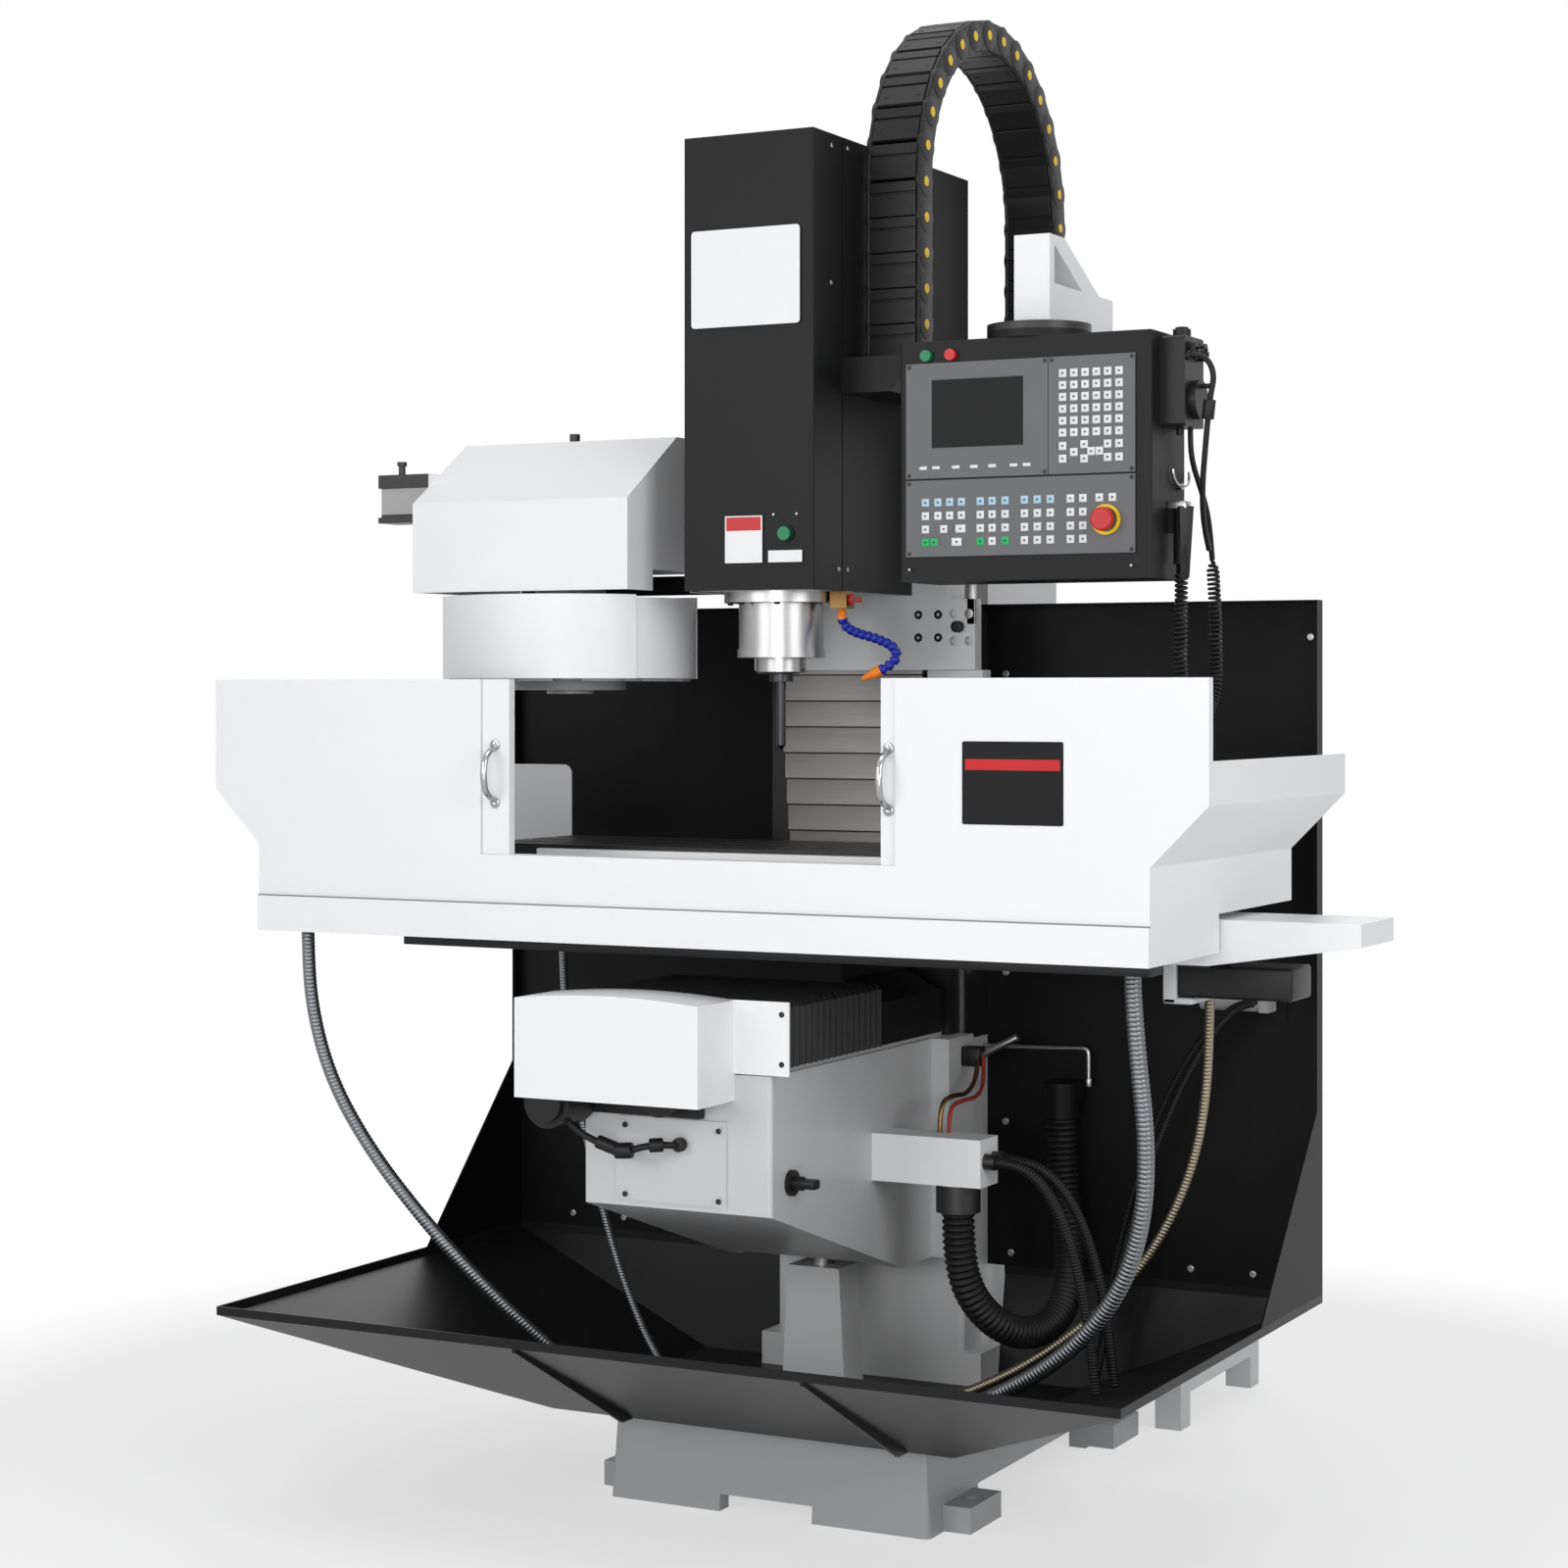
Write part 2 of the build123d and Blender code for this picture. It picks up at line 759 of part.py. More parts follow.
def knee_casting():
    side = [(knee_front_y, knee_top_z), (knee_front_y, knee_nose_z), (knee_heel_y, knee_heel_z),
            (knee_back_y, knee_heel_z), (knee_back_y, knee_top_z)]
    body = prism_x(side, -knee_half_w, knee_half_w)
    body = fillet(body.edges().filter_by(Axis.Z).group_by(Axis.Y)[0], knee_round)
    for sign in (-1, 1):
        lip_in = sign * (way_out_x + slide_gap)
        lip_out = sign * (way_out_x + slide_gap + knee_lip_w)
        body += block(*sorted((lip_in, lip_out)), knee_back_y - knee_lip_d, column_front_y - slide_gap,
                      knee_heel_z, knee_top_z)
        body += block(*sorted((sign * (knee_half_w - knee_lip_w), lip_in)), knee_back_y - knee_lip_d,
                      knee_back_y, knee_heel_z, knee_top_z)
        way_x = sign * y_way_half_x
        body += block(way_x - y_way_w / 2, way_x + y_way_w / 2, knee_front_y + y_way_end,
                      knee_back_y - y_way_end, knee_top_z, y_way_top_z)
    body -= block(-y_groove_half_w, y_groove_half_w, knee_front_y + y_groove_wall,
                  knee_back_y - y_groove_wall, knee_top_z - y_groove_depth, knee_top_z + overrun)
    inner_w = knee_half_w - knee_wall
    nose_z = knee_nose_z + knee_wall
    cavity = [(knee_front_y + knee_wall, knee_ceiling_z), (knee_front_y + knee_wall, nose_z),
              (knee_heel_y - knee_wall, knee_heel_z + 2 * knee_wall),
              (knee_heel_y - knee_wall, knee_heel_z - overrun),
              (knee_back_y - knee_wall, knee_heel_z - overrun), (knee_back_y - knee_wall, knee_ceiling_z)]
    body -= prism_x(cavity, -inner_w, inner_w)
    body -= rod_y(0, knee_front_y - overrun, knee_back_y - y_groove_wall / 2, y_screw_z, screw_r + bore_gap)
    body -= rod_x(knee_half_w - knee_wall - overrun, knee_half_w + overrun, crank_y, crank_z,
                  crank_r + bore_gap)
    return body


def knee_front_cover():
    front = knee_front_y - cover_plate
    top = front_plate_bottom_z + front_plate_h
    plate = block(front_plate_left_x, front_plate_right_x, front, knee_front_y, front_plate_bottom_z, top)
    inset = front_plate_screw_inset
    for x in (front_plate_left_x + inset, front_plate_right_x - inset):
        for z in (front_plate_bottom_z + inset, top - inset):
            plate += rod_y(x, front - cover_plate / 2, front, z, front_plate_screw_r)
    return plate


def y_motor_cover():
    front = knee_front_y - motor_cover_d
    top = motor_cover_bottom_z + motor_cover_h
    left, right = motor_cover_left_x, motor_cover_right_x
    bow = ThreePointArc((left, top), ((left + right) / 2, top + motor_cover_bow), (right, top))
    edges = Polyline((right, top), (right, motor_cover_bottom_z), (left, motor_cover_bottom_z), (left, top))
    cover = Pos(0, knee_front_y, 0) * extrude(Plane.XZ * make_face([bow] + edges.edges()),
                                              amount=motor_cover_d)
    cover -= block(left + sheet, right - sheet, front + sheet, knee_front_y + overrun,
                   motor_cover_bottom_z - overrun, top - sheet)
    plate = block(-y_cover_half_w, y_cover_half_w, knee_front_y - cover_plate, knee_front_y,
                  end_plate_bottom_z, y_cover_top_z)
    return cover + plate


def y_motor():
    back = knee_front_y - cover_plate
    front = back - motor_plate_t
    top = end_plate_bottom_z - slide_gap
    plate = block(motor_x - motor_r, motor_plate_right_x, front, back, motor_plate_bottom_z, top)
    plate += rod_y(0, back, knee_front_y, y_screw_z, y_screw_drop - cover_plate)
    motor = rod_y(motor_x, front - motor_len, front, motor_z, motor_r)
    motor += rod_y(motor_x, front - motor_len - motor_cap_len, front - motor_len, motor_z, motor_cap_r)
    pulley = rod_y(0, front - pulley_len, front, y_screw_z, pulley_r)
    for y in (front - pulley_len, front - 2 * pulley_rim):
        pulley += rod_y(0, y, y + pulley_rim, y_screw_z, pulley_r + pulley_rim)
    return plate + motor + pulley


def y_screw():
    return rod_y(0, knee_front_y + cover_plate, knee_back_y - y_groove_wall / 2 - cover_plate, y_screw_z,
                 screw_r)


def lift_crank():
    face = knee_half_w
    shaft = rod_x(face - crank_in + overrun, face + crank_out, crank_y, crank_z, crank_r)
    shaft += rod_x(face + slide_gap, face + slide_gap + crank_flange_t, crank_y, crank_z, crank_flange_r)
    flat_x = face + crank_out / 2
    for sign in (-1, 1):
        flat = sorted((crank_z + sign * crank_flat, crank_z + sign * (crank_r + overrun)))
        shaft -= block(flat_x, face + crank_out + overrun, crank_y - crank_flange_r,
                       crank_y + crank_flange_r, *flat)
    return shaft


def junction_box():
    right = knee_half_w + box_w
    box = block(knee_half_w, right, box_y, box_y + box_d, box_z, box_z + box_h)
    mid_y = box_y + box_d / 2
    box += rod_z(cuff_x, mid_y, box_z - cuff_h, box_z, cuff_r)
    for sign in (-1, 1):
        box += rod_x(right, right + gland_len, mid_y + sign * gland_half_gap, gland_z, gland_r)
    return box


def saddle_casting():
    waist_z = y_way_top_z + slide_gap + saddle_foot_h
    half = saddle_half_w
    side = [(-half, y_way_top_z + slide_gap), (-half, waist_z),
            (-half + saddle_waist, waist_z + saddle_foot_h / 2),
            (-half + saddle_waist, saddle_top_z), (half - saddle_waist, saddle_top_z),
            (half - saddle_waist, waist_z + saddle_foot_h / 2), (half, waist_z),
            (half, y_way_top_z + slide_gap)]
    body = prism_y(side, saddle_front_y, saddle_back_y)
    nut_low = y_screw_z - nut_half_w / 2 - overrun
    body += block(-nut_half_w, nut_half_w, saddle_mid_y - nut_len / 2, saddle_mid_y + nut_len / 2,
                  nut_low, y_way_top_z + slide_gap)
    body -= rod_y(0, saddle_mid_y - nut_len, saddle_mid_y + nut_len, y_screw_z, screw_r + bore_gap)
    neck_mid_y = table_neck_front_y + table_neck_d / 2
    x_nut_top = table_slab_z - cover_plate
    body += block(-nut_len / 2, nut_len / 2, neck_mid_y - nut_half_w, neck_mid_y + nut_half_w,
                  saddle_top_z, x_nut_top)
    body -= rod_x(-nut_len, nut_len, neck_mid_y, x_screw_z, screw_r + bore_gap)
    return body


def table():
    slab = block(-table_half_w, table_half_w, table_front_y, table_back_y, table_slab_z, table_top_z)
    mid_y = (table_front_y + table_back_y) / 2
    reach = table_half_w + overrun
    for place in range(slot_count):
        y = mid_y + (place - (slot_count - 1) / 2) * slot_pitch
        tee_z = table_top_z - slot_h
        slab -= block(-reach, reach, y - slot_w / 2, y + slot_w / 2, tee_z, table_top_z + overrun)
        slab -= block(-reach, reach, y - slot_tee_w / 2, y + slot_tee_w / 2, tee_z, tee_z + slot_tee_h)
    neck_back = table_neck_front_y + table_neck_d
    slab += block(-table_neck_half_w, table_neck_half_w, table_neck_front_y, neck_back, table_neck_z,
                  table_slab_z)
    neck_mid = table_neck_front_y + table_neck_d / 2
    end = table_neck_half_w - y_groove_wall
    slab -= block(-end, end, neck_mid - x_groove_half_w, neck_mid + x_groove_half_w,
                  table_neck_z - overrun, table_slab_z)
    slab -= rod_x(-table_neck_half_w + x_screw_end, table_neck_half_w - x_screw_end, neck_mid, x_screw_z,
                  screw_r + bore_gap)
    return slab


def x_screw():
    neck_mid = table_neck_front_y + table_neck_d / 2
    end = table_neck_half_w - x_screw_end - slide_gap
    return rod_x(-end, end, neck_mid, x_screw_z, screw_r)


def y_way_cover():
    front = knee_front_y
    back = saddle_front_y
    run = (back - front) / y_slat_count
    cover = None
    for place in range(y_slat_count):
        shrink = y_slat_step * place
        half = y_cover_half_w - shrink
        top = y_cover_top_z - shrink
        y0 = front + run * place
        slat = block(-half, half, y0, y0 + run, y_cover_bottom_z, top)
        wall = sheet + y_slat_step
        slat -= block(-half + wall, half - wall, y0 - overrun, y0 + run + overrun,
                      y_cover_bottom_z - overrun, top - wall)
        cover = slat if cover is None else cover + slat
    return cover


def flare(sign, inset):
    return [(sign * (panel_half_w - inset), side_top_z), (sign * (panel_half_w - inset), panel_flare_top_z),
            (sign * (panel_low_half_w - inset), panel_flare_low_z),
            (sign * (panel_low_half_w - inset), panel_bottom_z)]


def enclosure_front():
    outline = [(-panel_half_w, panel_top_z), (-panel_half_w, panel_flare_top_z),
               (-panel_low_half_w, panel_flare_low_z),
               (-panel_low_half_w, panel_bottom_z), (panel_low_half_w, panel_bottom_z),
               (panel_low_half_w, panel_flare_low_z), (panel_half_w, panel_flare_top_z),
               (panel_half_w, panel_top_z),
               (opening_right_x, panel_top_z), (opening_right_x, sill_z), (opening_left_x, sill_z),
               (opening_left_x, panel_top_z)]
    panel = prism_y(outline, panel_y, panel_back_y)
    panel += block(-panel_low_half_w, panel_low_half_w, panel_y - apron_out, panel_y, panel_bottom_z,
                   panel_seam_z)
    for sign in (-1, 1):
        fold = sorted((sign * (panel_half_w - sheet), sign * panel_half_w))
        panel += block(*fold, panel_back_y, panel_back_y + panel_return, side_top_z, panel_top_z)
    half = panel_low_half_w - sheet
    panel += block(-half, half, panel_back_y, panel_back_y + track_d, sill_z - track_h, sill_z)
    panel += block(-half, half, panel_back_y, panel_back_y + panel_return, panel_bottom_z,
                   panel_bottom_z + sheet)
    return panel


def enclosure_wall(sign):
    outer = flare(sign, 0)
    inner = flare(sign, sheet)
    wall = prism_y(outer + inner[::-1], panel_back_y, side_back_y)
    reach = sign * (panel_half_w + overrun)
    low = sign * (panel_low_half_w - sheet - overrun)
    wall -= block(*sorted((low, reach)), side_notch_y, side_back_y + overrun, panel_bottom_z - overrun,
                  panel_seam_z)
    wall -= block(*sorted((low, reach)), panel_back_y - overrun, panel_back_y, panel_bottom_z, side_top_z)
    plate_in = sign * rear_plate_x
    plate_out = sign * (panel_low_half_w - sheet)
    plate = block(*sorted((plate_in, plate_out)), rear_plate_y, rear_plate_y + sheet,
                  floor_z + sheet, rear_plate_top_z)
    corner = plate.edges().filter_by(Axis.Y).group_by(Axis.Z)[-1].sort_by(Axis.X)[0 if sign > 0 else -1]
    return wall + fillet(corner, rear_plate_corner)


def enclosure_floor():
    half = panel_low_half_w - sheet
    floor = block(-half, half, panel_back_y, side_back_y, floor_z, floor_z + sheet)
    floor -= block(-table_half_w, table_half_w, table_front_y, table_back_y, floor_z - overrun,
                   floor_z + 2 * sheet)
    floor -= block(-rear_plate_x, rear_plate_x, table_back_y, side_back_y + overrun,
                   floor_z - overrun, floor_z + 2 * sheet)
    return floor


def door(left_x, right_x):
    back = door_y + door_t
    panel = block(left_x, right_x, door_y, back, door_z, panel_top_z)
    return panel - block(left_x + sheet, right_x - sheet, door_y + sheet, back + overrun,
                         door_z + sheet, panel_top_z - sheet)


def door_handle(x):
    half = handle_h / 2
    top = handle_z + half
    low = handle_z - half
    out = door_y - handle_out
    path = FilletPolyline((x, door_y, low), (x, out, low), (x, out, top), (x, door_y, top),
                          radius=handle_out / 2)
    start = Plane(origin=(x, door_y, low), z_dir=(0, -1, 0))
    return sweep(start * Circle(handle_r), path=path)


def x_end_cover():
    side = [(table_neck_half_w, x_cover_top_z), (x_cover_end_x, x_cover_top_z),
            (x_cover_end_x, x_cover_end_z),
            (x_cover_knee_x, x_cover_bottom_z), (table_neck_half_w, x_cover_bottom_z)]
    cover = prism_y(side, x_cover_front_y, x_cover_front_y + x_cover_d)
    inner = [(table_neck_half_w + sheet, x_cover_top_z - sheet),
             (x_cover_end_x - sheet, x_cover_top_z - sheet),
             (x_cover_end_x - sheet, x_cover_end_z - overrun), (x_cover_knee_x, x_cover_bottom_z - overrun),
             (table_neck_half_w + sheet, x_cover_bottom_z - overrun)]
    return cover - prism_y(inner, x_cover_front_y + sheet, x_cover_front_y + x_cover_d - sheet)


def head_casting():
    slide = block(-slide_half_w, slide_half_w, slide_front_y, slide_back_y, slide_bottom_z, slide_top_z)
    for sign in (-1, 1):
        lip = sorted((sign * (way_out_x + slide_gap), sign * slide_half_w))
        slide += block(*lip, slide_back_y, slide_back_y + slide_lip_d, slide_bottom_z, slide_top_z)
    ear_x = slide_half_w + ear_w
    slide += block(slide_half_w, ear_x, slide_front_y, slide_front_y + ear_d, slide_bottom_z,
                   slide_bottom_z + ear_h)
    ear_mid_x = slide_half_w + ear_w / 2
    ear_mid_z = slide_bottom_z + ear_h * ear_mid_share
    for dx in (-ear_bolt_half_x, ear_bolt_half_x):
        for dz in (-ear_bolt_half_z, ear_bolt_half_z):
            slide -= rod_y(ear_mid_x + dx, slide_front_y - overrun, slide_front_y + ear_bolt_depth,
                           ear_mid_z + dz, ear_bolt_r)
    slide += block(-quill_half_w, quill_half_w, quill_front_y, slide_front_y, quill_bottom_z,
                   quill_bottom_z + quill_h)
    nut_top = head_nut_z + head_nut_h
    slide += block(-head_nut_half_w, head_nut_half_w, slide_back_y, column_front_y - slide_gap, head_nut_z,
                   nut_top)
    slide -= rod_z(0, z_screw_y, head_nut_z - overrun, nut_top + overrun, screw_r + bore_gap)
    return slide


def head_cover():
    half = cover_half_w
    cover = block(-half, half, cover_front_y, slide_front_y, quill_bottom_z, cover_top_z)
    cover = fillet(cover.edges().filter_by(Axis.Z).group_by(Axis.Y)[0], sheet)
    inner = half - sheet
    cover -= block(-inner, inner, cover_front_y + sheet, slide_front_y - sheet, quill_bottom_z - overrun,
                   cover_top_z - sheet)
    cover -= block(-inner, inner, slide_front_y - 2 * sheet, slide_front_y + overrun,
                   quill_bottom_z - overrun, slide_top_z)
    for sign in (-1, 1):
        groove = sorted((sign * (half - cover_seam_depth), sign * (half + overrun)))
        cover -= block(*groove, cover_seam_y, cover_seam_y + cover_seam_w, quill_bottom_z - overrun,
                       cover_top_z + overrun)
    cover += rod_y(head_button_x, cover_front_y - button_bezel_t, cover_front_y, head_button_z,
                   button_bezel_r)
    cover -= rod_y(head_button_x, cover_front_y - button_bezel_t - overrun, cover_front_y + sheet + overrun,
                   head_button_z, button_r + slide_gap)
    bracket_top = bracket_z + bracket_h
    carrier = [(half, bracket_top), (half + bracket_out, bracket_top),
               (half + bracket_out, bracket_z + bracket_fall),
               (half + bracket_out - bracket_fall, bracket_z), (half, bracket_z)]
    return cover + prism_y(carrier, bracket_y, bracket_y + bracket_d)


def push_button(x, y, z, radius):
    return rod_y(x, y - button_out, y + button_in, z, radius)


def spindle_housing():
    outline = [(spindle_r + bore_gap, housing_z), (housing_ring_r, housing_z),
               (housing_ring_r, housing_z + housing_ring_h),
               (housing_r, housing_z + housing_ring_h), (housing_r, housing_z + housing_h),
               (flange_r, housing_z + housing_h),
               (flange_r, quill_bottom_z), (spindle_r + bore_gap, quill_bottom_z)]
    return turned(outline, 0, spindle_y)


def spindle():
    top = nose_z + nose_h
    outline = [(0, nose_z), (nose_r - nose_chamfer, nose_z), (nose_r, nose_z + nose_chamfer), (nose_r, top),
               (spindle_r, top), (spindle_r, quill_bottom_z - slide_gap), (0, quill_bottom_z - slide_gap)]
    nose = turned(outline, 0, spindle_y)
    for sign in (-1, 1):
        slot_x = sorted((sign * nose_r * key_r_share, sign * (nose_r + overrun)))
        nose -= block(*slot_x, spindle_y - key_w / 2, spindle_y + key_w / 2, nose_z - overrun,
                      nose_z + key_w / 2)
    return nose


def drill():
    holder_z = nose_z - holder_h
    tip_z = holder_z - drill_len
    outline = [(0, nose_z), (holder_r, nose_z), (holder_r, holder_z), (drill_r, holder_z),
               (drill_r, tip_z + drill_tip), (0, tip_z)]
    bit = turned(outline, 0, spindle_y)
    for sign in (-1, 1):
        bit -= rod_z(sign * (drill_r + flute_r * flute_out_share), spindle_y, tip_z - overrun,
                     holder_z - holder_h, flute_r)
    return bit


def coolant_valve():
    body = block(valve_x - valve_half_w, valve_x + valve_half_w, valve_y - valve_half_d,
                 valve_y + valve_half_d,
                 valve_z, quill_bottom_z)
    right = valve_x + valve_half_w
    pin = rod_x(right, right + slide_gap + lever_t, valve_y, valve_z + valve_h / 2, pivot_r)
    return body + pin


def valve_lever():
    x0 = valve_x + valve_half_w + slide_gap
    mid_z = valve_z + valve_h / 2
    bar = block(x0, x0 + lever_t, valve_y, valve_y + lever_len, mid_z - lever_w / 2, mid_z + lever_w / 2)
    bar += rod_x(x0, x0 + lever_t, valve_y, mid_z, lever_w)
    return bar - rod_x(x0 - overrun, x0 + lever_t + overrun, valve_y, mid_z, pivot_r + bore_gap)


def coolant_hose():
    tube = corded(coolant_hose_route, hose_r, "coolant_hose")
    end = Vector(*coolant_hose_route[-1])
    way = (end - Vector(*coolant_hose_route[-2])).normalized()
    cone = Plane(origin=end, z_dir=way) * Pos(0, 0, hose_tip_len / 2) * Cone(hose_r, hose_tip_r, hose_tip_len)
    return tube + cone


def drum_skirt():
    x, y = drum_x, spindle_y
    skirt = rod_z(x, y, drum_bottom_z, drum_top_z, drum_r)
    skirt -= rod_z(x, y, drum_bottom_z - overrun, drum_top_z - drum_plate, drum_inner_r)
    skirt -= block(x + drum_slot_in, x + drum_r + overrun, y - drum_slot_half_w, y + drum_slot_half_w,
                   drum_bottom_z - overrun, drum_top_z + overrun)
    return skirt - rod_z(x, y, drum_top_z - drum_plate - overrun, drum_top_z + overrun, drum_shaft_r)


def drum_shutter():
    x, y = drum_x, spindle_y
    half = radians(drum_open_deg + shutter_over_deg)
    outer = drum_inner_r - slide_gap
    low = drum_bottom_z + disc_t + shutter_edge
    top = drum_top_z - drum_plate - slide_gap
    ring = rod_z(x, y, low, top, outer) - rod_z(x, y, low - overrun, top + overrun, outer - shutter_t)
    reach = drum_r * 2
    wedge = prism_z([(x, y), (x + reach, y - reach * tan(half)), (x + reach, y + reach * tan(half))], low,
                    top)
    return ring & wedge


def tool_disc():
    x, y = drum_x, spindle_y
    low = disc_top_z - disc_t
    disc = rod_z(x, y, low, disc_top_z, disc_r)
    for place in range(pocket_count):
        turn = Rot(0, 0, place * 360 / pocket_count)
        notch = Pos(drum_pitch_r, 0, low + disc_t / 2) * Cylinder(pocket_r, disc_t * 2)
        mouth = Pos(drum_pitch_r + pocket_r, 0, low + disc_t / 2) * Box(2 * pocket_r, 2 * pocket_r,
                                                                        disc_t * 2)
        disc -= Pos(x, y, 0) * turn * (notch + mouth)
    disc += rod_z(x, y, low - disc_cap_t, low, disc_cap_r)
    disc += rod_z(x, y, low, drum_top_z - drum_plate - disc_hub_gap, disc_hub_r)
    return disc - rod_z(x, y, low - disc_cap_t - overrun, drum_top_z, drum_shaft_r + bore_gap)


def magazine_carriage():
    x, y = drum_x, spindle_y
    foot_top = disc_top_z - disc_t - disc_cap_t - slide_gap
    shaft = rod_z(x, y, foot_top - shaft_foot_t, carriage_z, drum_shaft_r)
    shaft += rod_z(x, y, foot_top - shaft_foot_t, foot_top, shaft_foot_r)
    shaft += rod_z(x, y, drum_top_z, carriage_z, collar_r)
    top = carriage_z + carriage_t
    shaft += block(x - carriage_left, x + carriage_right, y - carriage_half_d, y + carriage_half_d,
                   carriage_z, top)
    shaft += block(x - carriage_left, x + collar_r, y - collar_r, y + collar_r, carriage_z, top)
    for end_x in (x - carriage_left, x + carriage_right - guide_len):
        for rail_y in (y - rail_half_gap, y + rail_half_gap):
            guide = block(end_x, end_x + guide_len, rail_y - guide_w / 2, rail_y + guide_w / 2, top,
                          rail_z + rail_h / 2)
            guide -= block(end_x - overrun, end_x + guide_len + overrun, rail_y - rail_w / 2 - slide_gap,
                           rail_y + rail_w / 2 + slide_gap, rail_z - slide_gap, rail_z + rail_h)
            shaft += guide
    return shaft


def magazine_arm():
    left = roof_left_x + sheet
    right = roof_right_x - sheet
    top = arm_plate_z + arm_plate
    arm = block(left, right, roof_front_y + sheet, roof_back_y, arm_plate_z, top)
    for rail_y in (spindle_y - rail_half_gap, spindle_y + rail_half_gap):
        arm += block(left, right, rail_y - rail_w / 2, rail_y + rail_w / 2, rail_z, arm_plate_z)
    beam_top = top + arm_beam_h
    beam_back = arm_foot_y + arm_beam_w
    arm += block(arm_beam_x, arm_beam_x + arm_beam_w, roof_ridge_y, beam_back, top, beam_top)
    arm += block(arm_beam_x, -column_half_w, arm_foot_y, beam_back, top, beam_top)
    return arm


def magazine_roof():
    outline = [(roof_front_y, roof_bottom_z), (roof_front_y, roof_eave_z), (roof_ridge_y, roof_ridge_z),
               (roof_back_y, roof_ridge_z), (roof_back_y, roof_bottom_z)]
    roof = prism_x(outline, roof_left_x, roof_right_x)
    inner = [(roof_front_y + sheet, roof_bottom_z - overrun), (roof_front_y + sheet, roof_eave_z - sheet / 2),
             (roof_ridge_y, roof_ridge_z - sheet), (roof_back_y + overrun, roof_ridge_z - sheet),
             (roof_back_y + overrun, roof_bottom_z - overrun)]
    roof -= prism_x(inner, roof_left_x + sheet, roof_right_x - sheet)
    half = collar_r + roof_pass_gap
    roof -= block(roof_right_x - sheet - overrun, roof_right_x + overrun, spindle_y - half, spindle_y + half,
                  roof_bottom_z - overrun, carriage_z + carriage_t + roof_pass_gap)
    mid_x = (roof_left_x + roof_right_x) / 2
    knob_y = roof_ridge_y + knob_r * 2
    return roof + rod_z(mid_x, knob_y, roof_ridge_z, roof_ridge_z + knob_h, knob_r) + valve_block()


def valve_block():
    left = roof_left_x - valve_block_w
    back = valve_block_y + valve_block_d
    inset = valve_body_inset
    body_z = valve_block_z + valve_base_h
    cap_z = body_z + valve_body_h
    top = cap_z + valve_cap_h
    mid_y = valve_block_y + valve_block_d / 2
    stem_x = left + valve_stem_edge
    valve = block(left, roof_left_x, valve_block_y, back, valve_block_z, body_z)
    valve += block(left + inset, roof_left_x, valve_block_y + inset, back - inset, body_z, cap_z)
    valve += block(left, roof_left_x, valve_block_y, back, cap_z, top)
    valve += rod_z(stem_x, mid_y, top, top + valve_stem_h, valve_stem_r)
    return valve + rod_z(stem_x, mid_y, top + valve_stem_h - valve_knob_h, top + valve_stem_h, valve_knob_r)


def controller_box():
    box = block(panel_box_left_x, panel_box_right_x, panel_box_y, panel_box_y + panel_box_d, panel_box_z,
                panel_box_top_z)
    box = fillet(box.edges().filter_by(Axis.Z), panel_box_round)
    box += rod_z(swivel_x, swivel_y, panel_box_top_z, panel_box_top_z + swivel_t, swivel_r)
    for x in (start_button_x, stop_button_x):
        box -= rod_y(x, panel_box_y - overrun, panel_box_y + button_in + 2 * overrun, panel_button_z,
                     panel_button_r + slide_gap)
    box -= rod_y(estop_x, panel_box_y - overrun, panel_box_y + estop_stem + overrun, estop_z,
                 estop_stem_r + slide_gap)
    box += rod_z(socket_x, socket_y, socket_z, socket_z + socket_h, socket_r)
    half = socket_r / 2
    return box + block(panel_box_right_x, socket_x, socket_y - half, socket_y + half,
                       socket_z + socket_h / 2, socket_z + socket_h)


def key(x, z, front):
    return block(x, x + key_size, front - key_proud, front, z, z + key_size)


def control_panel():
    x0 = panel_box_left_x + face_left
    front = panel_box_y - face_t
    upper = block(x0, x0 + face_w, front, panel_box_y, face_upper_z, face_upper_z + face_upper_h)
    screen_x = x0 + screen_left
    screen_z = face_upper_z + screen_bottom
    upper -= block(screen_x, screen_x + screen_w, front - overrun, front + screen_depth, screen_z,
                   screen_z + screen_h)
    pad_x = x0 + keypad_left
    for column_place in range(keypad_columns):
        for row in range(keypad_rows):
            upper += key(pad_x + column_place * keypad_pitch_x,
                         face_upper_z + keypad_bottom + row * keypad_pitch_z, front)
    for column_place in keypad_foot_columns:
        for row in range(keypad_foot_rows):
            upper += key(pad_x + column_place * keypad_pitch_x,
                         face_upper_z + keypad_foot_bottom + row * keypad_foot_pitch, front)
    lower = block(x0, x0 + face_w, front, panel_box_y, face_lower_z, face_lower_z + face_lower_h)
    for left, count in zip(key_group_lefts, key_group_counts):
        for column_place in range(count):
            for row in range(lower_key_rows):
                lower += key(x0 + left + column_place * lower_key_pitch_x,
                             face_lower_z + lower_key_bottom + row * lower_key_pitch_z, front)
    lower += rod_y(estop_x, front - key_proud, front, estop_z, estop_plate_r)
    lower -= rod_y(estop_x, front - overrun, panel_box_y + overrun, estop_z, estop_stem_r + slide_gap)
    return upper, lower


def estop_button():
    front = panel_box_y - face_t - key_proud
    stem = rod_y(estop_x, front - estop_stem, panel_box_y + estop_stem / 2, estop_z, estop_stem_r)
    cap = rod_y(estop_x, front - estop_stem - estop_cap, front - estop_stem, estop_z, estop_r)
    return stem + fillet(cap.edges(), estop_cap * estop_round_share)


